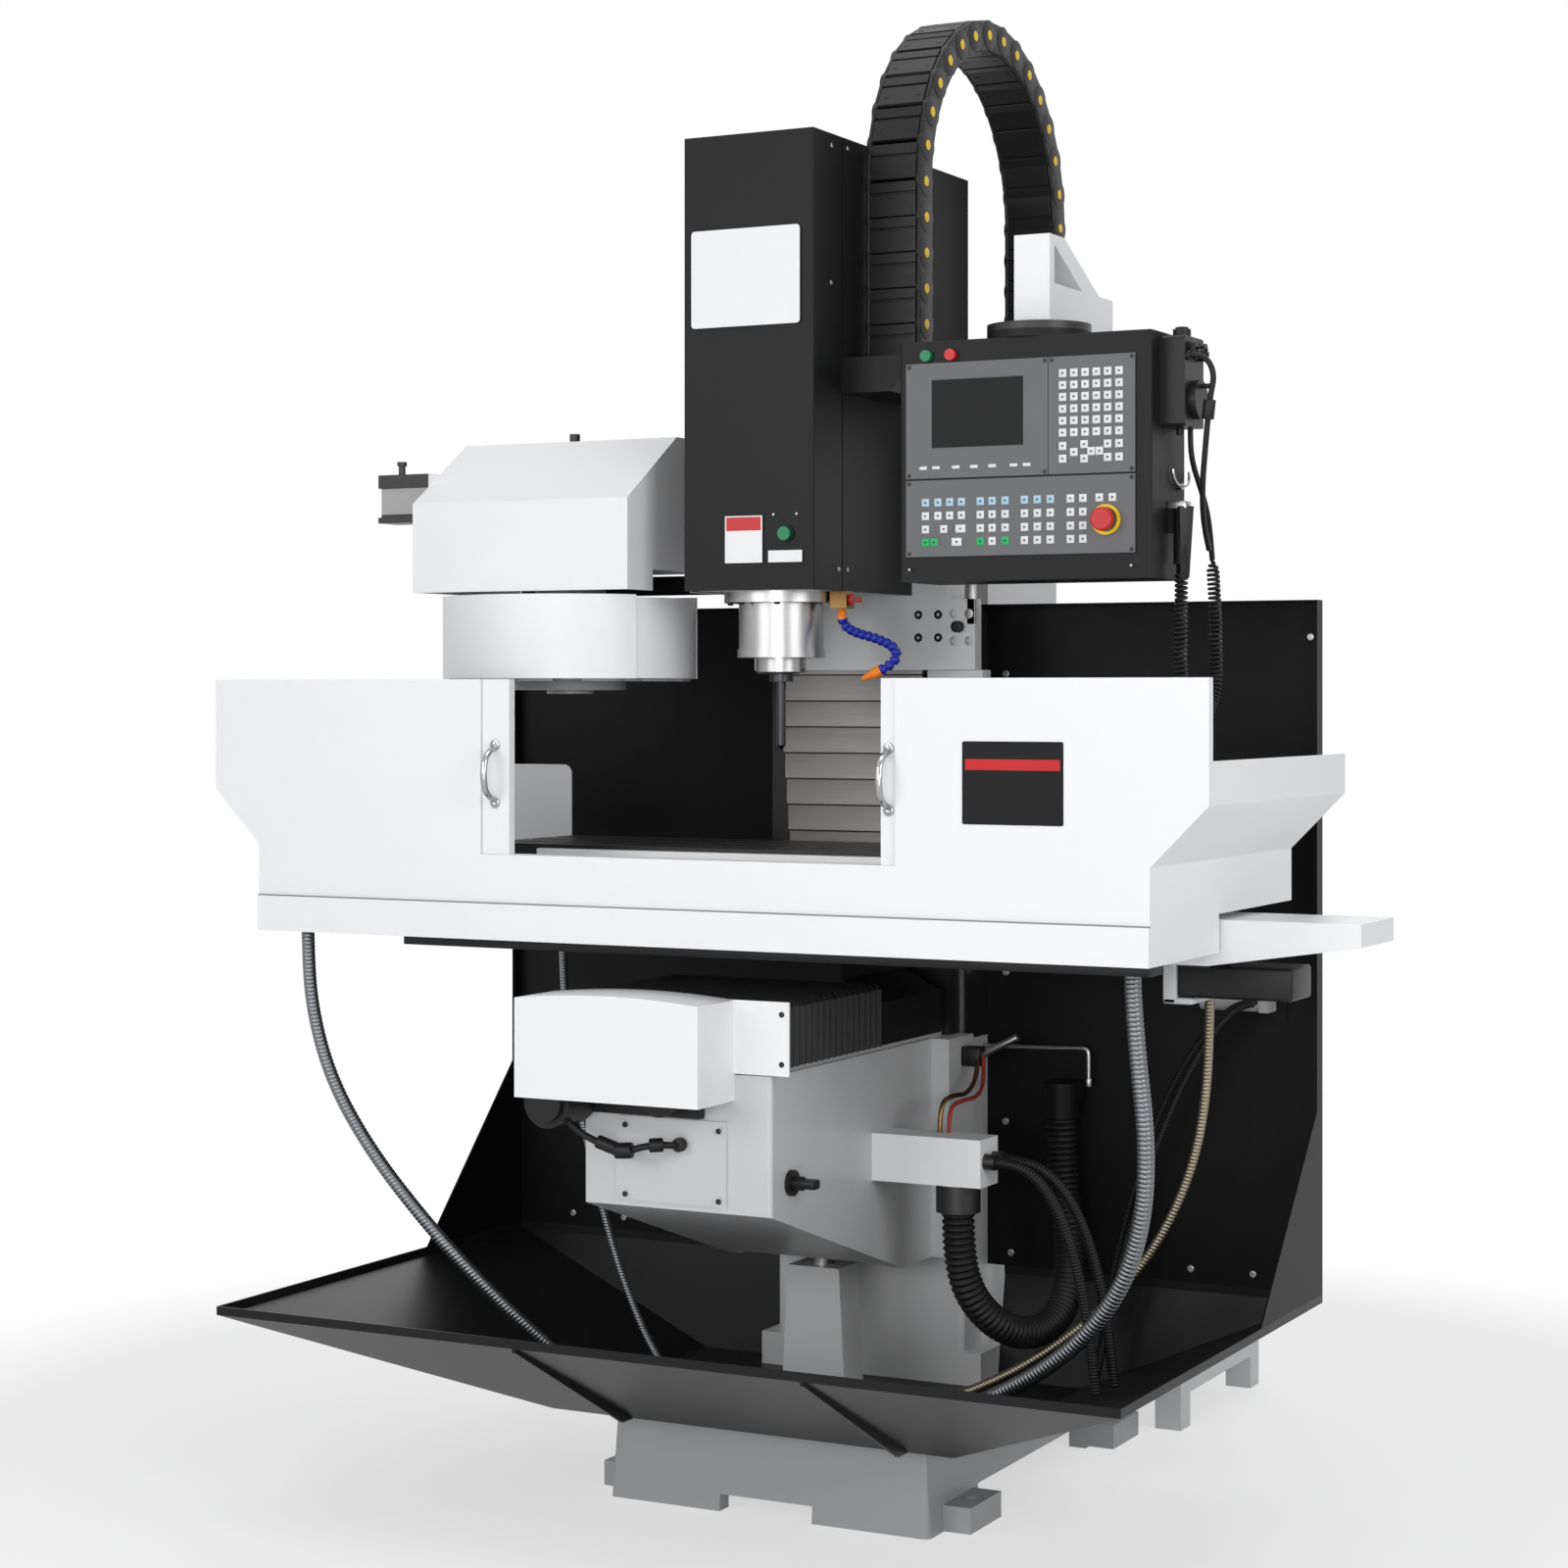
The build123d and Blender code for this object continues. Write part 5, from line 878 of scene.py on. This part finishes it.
def coolantHose():
    low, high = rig.box("coolant_hose")
    profile = [(share, r * blueHose["radius"]) for share, r in blueHose["profile"]]
    beads, line = windings("coolant_hose_beads", splineOf("blueRoute", blueHose["route"]), profile, blueHose["pitch"])
    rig.replaces(beads, "coolant_hose")
    finish(beads, "blue", "head", "hose_blue", 50)
    top = Vector((line[0].x, line[0].y, high.z - 0.001))
    sleeve = cone(top, line[0] + Vector((0, 0, -0.004)), 0.006, 0.0092)
    ahead = (line[-1] - line[-4]).normalized()
    end = line[-1]
    nozzle = join("nozzle", [cone(end - ahead * 0.004, end + ahead * 0.012, 0.0092, 0.0085),
                             cone(end + ahead * 0.011, end + ahead * blueHose["nozzle"], 0.0075, blueHose["tip"])])
    finish(join("coolant_hose_ends", [sleeve, nozzle]), "orange", "head", "hose_blue")


def cone(start, end, radius, endRadius, sides=20):
    run = end - start
    deselect()
    bpy.ops.mesh.primitive_cone_add(radius1=radius, radius2=endRadius, depth=run.length, vertices=sides,
                                    location=(start + end) / 2)
    piece = bpy.context.object
    piece.rotation_euler = run.to_track_quat("Z", "Y").to_euler()
    settle(piece)
    return roundEdges(piece, 0.0006, 2)


coolantHose()


# plates, labels without words, screws

def platePiece(left, right, low, high, faceY, thick, corner=0.004):
    deselect()
    bpy.ops.mesh.primitive_plane_add(size=1, location=((left + right) / 2, faceY, (low + high) / 2),
                                     rotation=(math.pi / 2, 0, 0))
    piece = bpy.context.object
    piece.scale = (right - left, high - low, 1)
    settle(piece)
    bpy.ops.object.mode_set(mode="EDIT")
    bpy.ops.mesh.select_all(action="SELECT")
    bpy.ops.mesh.bevel(affect="VERTICES", offset=corner, segments=4)
    bpy.ops.mesh.extrude_region_move(TRANSFORM_OT_translate=dict(value=(0, -thick, 0)))
    bpy.ops.mesh.select_all(action="SELECT")
    bpy.ops.mesh.normals_make_consistent(inside=False)
    bpy.ops.object.mode_set(mode="OBJECT")
    return piece


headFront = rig.box("head_cover")[0].y
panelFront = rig.box("enclosure_front")[0].y + 0.004
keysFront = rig.box("control_panel")[0].y
plates = {
    "head_plate": dict(span=(-0.102, 0.096, 1.940, 2.098), face=headFront, thick=0.0016, corner=0.006,
                       look="plate", body="head", slot="white_coat"),
    "head_label": dict(span=(-0.040, 0.028, 1.557, 1.633), face=headFront, thick=0.0008, corner=0.001,
                       look="plate", body="head", slot="white_coat"),
    "head_label_band": dict(span=(-0.0375, 0.0255, 1.609, 1.631), face=headFront - 0.0008, thick=0.0003, corner=0.0005,
                            look="red", body="head", slot="signal_red"),
    "head_strip": dict(span=(0.039, 0.100, 1.557, 1.576), face=headFront, thick=0.0008, corner=0.001,
                       look="plate", body="head", slot="white_coat"),
    "front_label": dict(span=(0.492, 0.652, 1.154, 1.276), face=panelFront, thick=0.0008, corner=0.003,
                        look="mark", body="work_table", slot="black_plastic"),
    "front_label_band": dict(span=(0.497, 0.647, 1.234, 1.250), face=panelFront - 0.0008, thick=0.0003, corner=0.001,
                             look="red", body="work_table", slot="signal_red"),
}
for name, spec in plates.items():
    left, right, low, high = spec["span"]
    piece = platePiece(left, right, low, high, spec["face"], spec["thick"], spec["corner"])
    piece.name = name
    finish(piece, spec["look"], spec["body"], spec["slot"])
print("plates set:", len(plates))


def screwHead(radius, rise):
    deselect()
    bpy.ops.mesh.primitive_cylinder_add(radius=radius, depth=rise, vertices=20, location=(0, 0, rise / 2))
    head = bpy.context.object
    settle(head)
    roundEdges(head, rise * 0.45, 3)
    bpy.ops.object.mode_set(mode="EDIT")
    bpy.ops.mesh.select_mode(type="FACE")
    bpy.ops.mesh.select_all(action="DESELECT")
    bpy.ops.object.mode_set(mode="OBJECT")
    top = max(head.data.polygons, key=lambda face: face.center.z)
    top.select = True
    bpy.ops.object.mode_set(mode="EDIT")
    bpy.ops.mesh.inset(thickness=radius * 0.3)
    bpy.ops.mesh.extrude_region_move(TRANSFORM_OT_translate=dict(value=(0, 0, -rise * 0.5)))
    bpy.ops.object.mode_set(mode="OBJECT")
    return head


facing = {
    "front": Matrix.Rotation(math.pi / 2, 4, "X"),
    "right": Matrix.Rotation(math.pi / 2, 4, "Y"),
    "left": Matrix.Rotation(-math.pi / 2, 4, "Y"),
    "top": Matrix.Identity(4),
    "under": Matrix.Rotation(math.pi, 4, "X"),
}


def screws(name, spots, face, radius, rise, body, look="bolt", slot="bright_steel"):
    piece = scatter(name, screwHead(radius, rise), [Matrix.Translation(s) @ facing[face] for s in spots])
    return finish(piece, look, body, slot)


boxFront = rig.box("controller_box")[0].y
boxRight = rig.box("controller_box")[1].x
headRight = 0.1185
panelPlate = -0.482
screws("panel_screws", [(x, panelPlate, z) for x, z in (
    (0.2815, 1.860), (0.512, 1.860), (0.5235, 1.860), (0.655, 1.860), (0.2815, 1.689), (0.512, 1.689), (0.655, 1.689),
    (0.2815, 1.676), (0.655, 1.676), (0.2815, 1.566), (0.655, 1.566))], "front", 0.0032, 0.0012, "control", "dark",
    "dark_iron")
screws("box_screws", [(x, boxFront, z) for x, z in ((0.283, 1.541), (0.655, 1.541))], "front", 0.002, 0.001, "control",
       "bolt")
screws("head_side_screws", [(headRight, y, z) for y, z in (
    (-0.430, 2.232), (-0.372, 2.236), (-0.432, 2.010), (-0.405, 1.548), (-0.372, 1.548), (-0.150, 1.548),
    (-0.150, 2.232), (-0.150, 1.93))], "right", 0.0042, 0.0018, "head")
screws("head_front_screws", [(x, headFront, 1.634) for x in (0.048, 0.090)], "front", 0.002, 0.0008, "head")
screws("head_left_screws", [(-headRight, y, z) for y, z in (
    (-0.430, 2.232), (-0.372, 2.236), (-0.432, 2.010), (-0.405, 1.548), (-0.150, 1.548), (-0.150, 2.232))],
       "left", 0.0042, 0.0018, "head")
wallFront = 0.059
screws("wall_bolts", [(side * x, wallFront, z) for side in (-1, 1) for x, z in (
    (0.225, 0.372), (0.335, 0.372), (0.445, 0.372), (0.555, 0.372), (0.665, 0.372), (0.215, 0.60), (0.215, 0.86),
    (0.215, 1.12), (0.215, 1.38), (0.765, 1.44), (0.765, 1.20), (0.765, 0.95))], "front", 0.0065, 0.003, "frame")
screws("end_plate_screws", [(x, -0.7345, z) for x, z in ((0.186, 0.858), (-0.186, 0.858), (0.186, 0.782))], "front",
       0.0045, 0.002, "knee", "dark", "dark_iron")
screws("flange_bolts", [(0.084 * math.cos(k * math.tau / 8 + 0.39), -0.378 + 0.084 * math.sin(k * math.tau / 8 + 0.39),
                         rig.box("spindle_housing")[1].z - 0.018) for k in range(8)], "under", 0.005, 0.004, "head",
       "dark", "dark_iron")
print("screws driven")


# keys of the control panel, plain and unmarked but for a dash

keys = dict(
    size=0.0124, rise=0.0014, dash=(0.0034, 0.0026),
    padColumns=[0.542 + 0.0185 * k for k in range(6)], padRows=[1.8390 - 0.0183 * k for k in range(6)],
    padLow=[(0.542, 1.727), (0.542, 1.7075), (0.5605, 1.717), (0.5775, 1.7285), (0.5775, 1.7065), (0.589, 1.7175),
            (0.6025, 1.7175), (0.616, 1.728), (0.6345, 1.728), (0.616, 1.7075), (0.6345, 1.7075)],
    groups=[[0.310, 0.3315, 0.3516, 0.3718], [0.404, 0.424, 0.446], [0.4785, 0.500, 0.5215], [0.555, 0.5754]],
    rows=[1.646, 1.625, 1.604, 1.5835])


def keyCap(width, tall, rise):
    cap = block((-width / 2, -tall / 2, 0), (width / 2, tall / 2, rise), rise * 0.4, 2)
    return cap


def keyField(name, spots, look, slot, width=None, tall=None, back=keysFront + 0.0012, rise=None):
    cap = keyCap(width or keys["size"], tall or keys["size"], rise or keys["rise"])
    places = [Matrix.Translation((x, back, z)) @ facing["front"] for x, z in spots]
    return finish(scatter(name, cap, places), look, "control", slot)


def panelKeys():
    pad = [(x, z) for x in keys["padColumns"] for z in keys["padRows"]] + keys["padLow"]
    top, second, third, low = keys["rows"]
    first, middle, next_, last = keys["groups"]
    blue = [(x, top) for x in first + middle + next_]
    green = [(first[0], low), (first[0] + 0.0145, low), (middle[0], low), (middle[2], low)]
    white = [(x, z) for x in middle + next_ + last for z in (second, third, low)]
    white += [(x, second) for x in first] + [(first[0], third), (first[1] + 0.010, third)]
    white += [(x, top) for x in last] + [(0.6024, top), (0.6237, top)]
    white = [spot for spot in white if spot not in green]
    keyField("keypad_caps", pad, "keyWhite", "panel_grey")
    keyField("machine_caps", white, "keyWhite", "panel_grey")
    keyField("mode_caps", blue, "keyBlue", "panel_grey")
    keyField("cycle_caps", green, "keyGreen", "panel_grey")
    wide = [(first[2] + 0.0185, third), (first[2] + 0.012, low)]
    keyField("wide_caps", wide, "keyWhite", "panel_grey", width=0.017)
    soft = [(0.306, 1.7005), (0.328, 1.7005), (0.362, 1.7005), (0.393, 1.7005), (0.424, 1.7005), (0.460, 1.7005),
            (0.482, 1.7005)]
    keyField("soft_caps", soft, "keyWhite", "panel_grey", width=0.013, tall=0.005)
    dashes = pad + white + blue + green + wide
    dash = block((-keys["dash"][0] / 2, -keys["dash"][1] / 2, 0), (keys["dash"][0] / 2, keys["dash"][1] / 2, 0.0002), 0.00005, 1)
    front = keysFront + 0.0012 - keys["rise"]
    marks = scatter("key_marks", dash, [Matrix.Translation((x, front, z)) @ facing["front"] for x, z in dashes])
    finish(marks, "mark", "control", "black_plastic")


panelKeys()
screen = platePiece(0.321, 0.475, 1.732, 1.838, -0.4805, 0.0006, 0.001)
screen.name = "screen_glass"
finish(screen, "screen", "control", "black_plastic")
seam = block((0.5172, -0.4823, 1.684), (0.5182, -0.4815, 1.865), 0.0002, 1)
seam.name = "panel_seam"
finish(seam, "mark", "control", "black_plastic")
print("panel keys set")


# small fittings on the knee, wall, table end, head and pendant

screws("knee_plate_screws", [(x, -0.737, z) for x, z in ((-0.088, 0.566), (0.078, 0.566), (0.078, 0.674), (-0.088, 0.674))],
       "front", 0.0045, 0.002, "knee", "dark", "dark_iron")
screws("ear_bolts", [(x, -0.115, z) for x in (0.1305, 0.1675) for z in (1.441, 1.480)], "front", 0.0090, 0.008, "head",
       "mark", "black_plastic")


def cordPiece(name, points, radius, look, body, slot, farEnd, stiffness, lay="loose"):
    made = splineOf(name, points)
    line = lineOf(made)
    thicken(made, radius)
    made.data.materials.append(looks[look].mat)
    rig.ride(made, body)
    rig.slot(made, slot)
    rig.cord(made, exit=line[0], length=lengthOf(line), diameter=2 * radius, far_end=farEnd, stiffness=stiffness, lay=lay)
    return line


def pipePiece(name, points, radius, look, body, slot):
    made = splineOf(name, points)
    thicken(made, radius)
    pick(made)
    bpy.ops.object.convert(target="MESH")
    return finish(bpy.context.object, look, body, slot, 50)


motorLead = dict(
    radius=0.0055, route=[(13, -737, 650), (13, -754, 650), (-4, -770, 652), (-27, -781, 650), (-55, -788, 641),
                          (-84, -792, 645), (-112, -797, 657), (-138, -802, 670), (-156, -806, 690)],
    plugs=[((13, -737, 650), (13, -752, 650), 0.011), ((-2, -767, 652), (-22, -778, 651), 0.011),
           ((-46, -786, 643), (-74, -791, 641), 0.0125), ((-66, -790, 642), (-104, -796, 655), 0.0105)])


def motorPlugs():
    cordPiece("motor_lead", motorLead["route"], motorLead["radius"], "rubber", "knee", "black_rubber", "object", "medium")
    parts = [rod([c / 1000 for c in a], [c / 1000 for c in b], r, 0.003, 24) for a, b, r in motorLead["plugs"]]
    finish(join("motor_plugs", parts), "plastic", "knee", "black_plastic")


motorPlugs()
pipes = {
    "oil_pipe": dict(radius=0.004, look="brass", body="knee", slot="valve_brass",
                     route=[(262, -322, 630), (262, -322, 660), (263, -310, 684), (268, -270, 688), (262, -220, 682),
                            (246, -150, 690), (234, -108, 712), (224, -82, 728)]),
    "red_pipe": dict(radius=0.0035, look="redPipe", body="knee", slot="signal_red",
                     route=[(276, -318, 630), (276, -318, 656), (276, -304, 676), (282, -262, 680), (276, -212, 676),
                            (262, -150, 684), (246, -108, 710), (234, -84, 728)]),
    "wall_rod": dict(radius=0.004, look="steel", body="frame", slot="bright_steel",
                     route=[(179, 40, 733), (262, 40, 734), (345, 40, 736), (374, 40, 737), (377, 40, 728), (377, 40, 706),
                            (377, 40, 680)]),
    "pendant_hook": dict(radius=0.0024, look="chrome", body="control", slot="handle_chrome",
                         route=[(690, -398, 1692), (691, -397, 1680), (692, -386, 1670), (692, -361, 1667), (692, -336, 1670),
                                (691, -325, 1680), (690, -324, 1692)]),
}
for name, pipe in pipes.items():
    pipePiece(name, pipe["route"], pipe["radius"], pipe["look"], pipe["body"], pipe["slot"])


def knobs(name, spans, look, body, slot):
    parts = [rod([c / 1000 for c in a], [c / 1000 for c in b], r / 1000, edge / 1000) for a, b, r, edge in spans]
    return finish(join(name, parts), look, body, slot)


oilBlock = block((0.197, -0.096, 0.712), (0.232, -0.066, 0.745), 0.003, 2)
oilBlock.name = "oil_block"
finish(oilBlock, "plastic", "knee", "black_plastic")
knobs("oil_handle", [((230, -80, 731), (296, -80, 765), 6.5, 1.5)], "bolt", "knee", "bright_steel")
knobs("wall_rod_tip", [((377, 40, 686), (377, 40, 672), 6, 1)], "bolt", "frame", "bright_steel")
motorFoot = join("x_motor_bracket", [block((0.676, -0.405, 0.868), (0.698, -0.300, 0.985), 0.003),
                                     block((0.676, -0.405, 0.868), (0.724, -0.300, 0.878), 0.003)])
finish(motorFoot, "cast", "work_table", "cast_grey")
motorBody = join("x_motor", [block((0.698, -0.402, 0.8785), (0.882, -0.303, 0.930), 0.006, 3),
                             block((0.698, -0.402, 0.92), (0.755, -0.303, 0.985), 0.006, 3)])
finish(motorBody, "plastic", "work_table", "black_plastic")

pendantKnobs = [((725, -418, 1868), (737, -418, 1868), 11, 2), ((725, -378, 1868), (737, -378, 1868), 11, 2),
                ((725, -418, 1868), (741, -418, 1868), 5, 1), ((725, -378, 1868), (741, -378, 1868), 5, 1),
                ((705, -398, 1900), (705, -398, 1910), 11, 3), ((702, -398, 1757), (702, -398, 1744), 6, 1)]
knobs("pendant_knobs", pendantKnobs, "plastic", "control", "black_plastic")
loop = dict(radius=0.0045, route=[(724, -432, 1862), (742, -433, 1864), (762, -433, 1852), (769, -431, 1828), (762, -428, 1802),
                                  (756, -424, 1764), (749, -416, 1718), (740, -402, 1672), (732, -380, 1634),
                                  (723, -345, 1600), (714, -300, 1572)])
cordPiece("pendant_loop", loop["route"], loop["radius"], "rubber", "control", "black_rubber", "object", "limp", "hanging")
knobs("loop_plug", [((760.5, -427, 1794), (756, -424, 1764), 9.5, 2), ((724, -432, 1862), (732, -432, 1863), 7, 1.5)],
      "plastic", "control", "black_plastic")
grip = cone(Vector((0.707, -0.398, 1.524)), Vector((0.7075, -0.398, 1.634)), 0.0105, 0.0172, 4)
grip.name = "cord_grip"
finish(roundEdges(grip, 0.004, 3), "plastic", "control", "black_plastic")
clip = block((0.685, -0.410, 1.630), (0.716, -0.386, 1.642), 0.002)
clip.name = "cord_clip"
finish(clip, "bolt", "control", "bright_steel")
knobs("hook_base", [((685, -361, 1667), (693, -361, 1667), 6, 1)], "chrome", "control", "handle_chrome")


def spun(name, corners, centre, axis, angle, steps):
    # a closed profile turned about an axis: a full turn makes a ring, a part turn a capped band
    full = angle == math.tau
    count = len(corners)
    data = bpy.data.meshes.new(name)
    data.from_pydata(corners, [(k, (k + 1) % count) for k in range(count)] if full else [],
                     [] if full else [tuple(range(count))])
    piece = bpy.data.objects.new(name, data)
    scene.collection.objects.link(piece)
    pick(piece)
    bpy.ops.object.mode_set(mode="EDIT")
    bpy.ops.mesh.select_all(action="SELECT")
    bpy.ops.mesh.spin(steps=steps, angle=angle, center=centre, axis=axis)
    bpy.ops.mesh.select_all(action="SELECT")
    bpy.ops.mesh.remove_doubles(threshold=1e-6)
    bpy.ops.mesh.normals_make_consistent(inside=False)
    bpy.ops.object.mode_set(mode="OBJECT")
    return piece


collar = dict(place=(0.614, 0, 1.612), inner=0.0188, outer=0.0235, front=-0.4872, back=-0.4832)
x, _, z = collar["place"]
ring = spun("estop_collar", [(x + r, y, z) for r, y in (
    (collar["inner"], collar["back"]), (collar["outer"], collar["back"]), (collar["outer"], collar["front"]),
    (collar["inner"], collar["front"]))], collar["place"], (0, 1, 0), math.tau, 48)
finish(ring, "yellow", "control", "signal_red")


# the shutter reaches down to the rim of the drum
def drumShutter():
    low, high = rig.box("drum_shutter")
    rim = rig.box("drum_skirt")[0].z + 0.0005
    drum = Vector((-0.406, (low.y + high.y) / 2, 0))
    outer = high.x - drum.x
    half = math.asin((high.y - low.y) / 2 / outer)
    corners = [(drum.x + r * math.cos(half), drum.y - r * math.sin(half), z) for r, z in (
        (outer - 0.002, rim), (outer, rim), (outer, high.z), (outer - 0.002, high.z))]
    band = spun("drum_shutter_band", corners, drum, (0, 0, -1), 2 * half, 32)
    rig.replaces(band, "drum_shutter")
    finish(band, "white", "shutter", "white_coat")


drumShutter()

# bowed door handles: height and reach of each point of the bow, in metres from the middle of the door's face
bow = dict(radius=0.0045, wide=1.25, eye=0.0088, eyeAt=0.046, eyeThick=0.003,
           half=[(0.046, 0.001), (0.041, 0.003), (0.037, 0.016), (0.027, 0.030), (0.009, 0.0345)])


def doorHandle(name, body):
    low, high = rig.box(name)
    x, face, middle = (low.x + high.x) / 2, high.y, (low.z + high.z) / 2
    reach = bow["half"] + [(-rise, out) for rise, out in reversed(bow["half"])]
    bar = splineOf(name + "_bar", [(x * 1000, (face - out) * 1000, (middle + rise) * 1000) for rise, out in reach])
    thicken(bar, bow["radius"], 4)
    pick(bar)
    bpy.ops.object.convert(target="MESH")
    bar = bpy.context.object
    for corner in bar.data.vertices:
        corner.co.x = x + (corner.co.x - x) * bow["wide"]
    parts = [bar]
    for rise in (-bow["eyeAt"], bow["eyeAt"]):
        parts.append(rod((x, face, middle + rise), (x, face - bow["eyeThick"], middle + rise), bow["eye"], 0.001))
        parts.append(rod((x, face, middle + rise * 1.04), (x, face - 0.0065, middle + rise * 1.04), 0.0042, 0.0015, 16))
    piece = join(name + "_bow", parts)
    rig.replaces(piece, name)
    finish(piece, "chrome", body, "handle_chrome", 50)


doorHandle("door_handle_left", "left_door")
doorHandle("door_handle_right", "right_door")
ledge = block((-0.385, -0.522, 1.058), (0.395, -0.508, 1.0885), 0.002)
ledge.name = "table_ledge"
finish(ledge, "white", "work_table", "white_coat")
curtain = block((-0.622, -0.192, 1.5175), (-0.212, -0.188, 1.551), 0.0008)
curtain.name = "roof_curtain"
finish(curtain, "rubber", "frame", "black_rubber")
wiper = block((0.147, -0.122, 1.362), (0.250, -0.086, 1.3858), 0.002)
wiper.name = "head_wiper"
finish(wiper, "cast", "head", "cast_grey")
lever = block((0.220, -0.122, 1.462), (0.236, -0.115, 1.534), 0.0015)
lever.name = "ear_plate"
finish(lever, "bolt", "head", "bright_steel")
knobs("ear_knob", [((206, -115, 1459), (206, -136, 1459), 10, 2), ((206, -115, 1459), (206, -142, 1459), 4, 1)],
      "plastic", "head", "black_plastic")
# painted shadow: a thin black strip under the front of the enclosure paints the shadow beneath the apron; it is not a
# real part
apronShadeStrip = block((-0.498, -0.745, 0.9405), (0.782, -0.690, 0.954), 0.001)
apronShadeStrip.name = "apron_shade_strip"
finish(apronShadeStrip, "black", "work_table", "black_coat")
print("fittings set")


# camera, light and floor

view = dict(place=(2.338, -4.888, 1.347), turnDeg=27.35, lensShare=3142 / 1600, sensor=36.0, shift=-0.0581)
eyeData = bpy.data.cameras.new("camera")
eye = bpy.data.objects.new("camera", eyeData)
scene.collection.objects.link(eye)
eye.location = view["place"]
eye.rotation_euler = (math.pi / 2, 0, math.radians(view["turnDeg"]))
eyeData.sensor_width = view["sensor"]
eyeData.lens = view["lensShare"] * view["sensor"]
eyeData.shift_y = view["shift"]
scene.camera = eye
scene.view_settings.view_transform = "Standard"


def lamp(name, place, aim, size, power):
    data = bpy.data.lights.new(name, "AREA")
    data.shape = "RECTANGLE"
    data.size, data.size_y = size
    data.energy = power
    made = bpy.data.objects.new(name, data)
    made.location = place
    made.rotation_euler = (Vector(aim) - Vector(place)).to_track_quat("-Z", "Y").to_euler()
    scene.collection.objects.link(made)


lamp("keyLamp", (-1.8, -5.6, 2.5), (0, -0.3, 1.1), (2.8, 2.2), 72)
lamp("frontLamp", (1.7, -5.8, 1.2), (0.1, -0.4, 0.8), (2.4, 1.4), 76)
lamp("fillLamp", (4.6, -2.6, 2.6), (0.2, -0.3, 1.1), (2.4, 2.4), 78)
lamp("topLamp", (0.2, -0.6, 5.2), (0, -0.3, 1.0), (3.2, 3.0), 62)
lamp("backLamp", (-1.5, 4.2, 3.4), (0, 0, 1.3), (2.6, 2.0), 40)

world = bpy.data.worlds.new("studio")
scene.world = world
world.use_nodes = True
sky = world.node_tree
air = sky.nodes["Background"]
air.inputs["Color"].default_value = (1, 1, 1, 1)
path = sky.nodes.new("ShaderNodeLightPath")
seen = Val(sky, path.outputs["Is Camera Ray"]).math("MAXIMUM", Val(sky, path.outputs["Is Transmission Ray"]))
seen = seen.math("MAXIMUM", Val(sky, path.outputs["Is Glossy Ray"]))
link(sky, seen * 0.72 + 0.28, air.inputs["Strength"])

deselect()
bpy.ops.mesh.primitive_plane_add(size=60, location=(0, 0, -0.0005))
floor = bpy.context.object
floor.name = "floor"
paper = Finish("paleFloor", (0.9, 0.905, 0.91), 0.9, specular=0.1)
spread = paper.node("ShaderNodeVectorMath", {"operation": "LENGTH"}, out=1, Vector=paper.place())
glow = paper.tree.nodes.new("ShaderNodeEmission")
glow.inputs["Color"].default_value = (1, 1, 1, 1)
blendNode = paper.tree.nodes.new("ShaderNodeMixShader")
ray = paper.tree.nodes.new("ShaderNodeLightPath")
far = ((spread - 0.9) / 1.3).math("MAXIMUM", 0.6, clamp=True)
shown = Val(paper.tree, ray.outputs["Is Camera Ray"]).math("MAXIMUM", Val(paper.tree, ray.outputs["Is Glossy Ray"]))
shown = shown.math("MAXIMUM", Val(paper.tree, ray.outputs["Is Transmission Ray"]))
link(paper.tree, far * shown, blendNode.inputs[0])
paper.tree.links.new(paper.shader.outputs[0], blendNode.inputs[1])
paper.tree.links.new(glow.outputs[0], blendNode.inputs[2])
paper.tree.links.new(blendNode.outputs[0], paper.tree.nodes["Material Output"].inputs["Surface"])
floor.data.materials.append(paper.mat)
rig.stage(floor)
print("studio set")

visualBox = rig.bounds()
json.dump({"cad": [list(corner) for corner in cadBox], "visual": [list(corner) for corner in visualBox]},
          open("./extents.json", "w"))
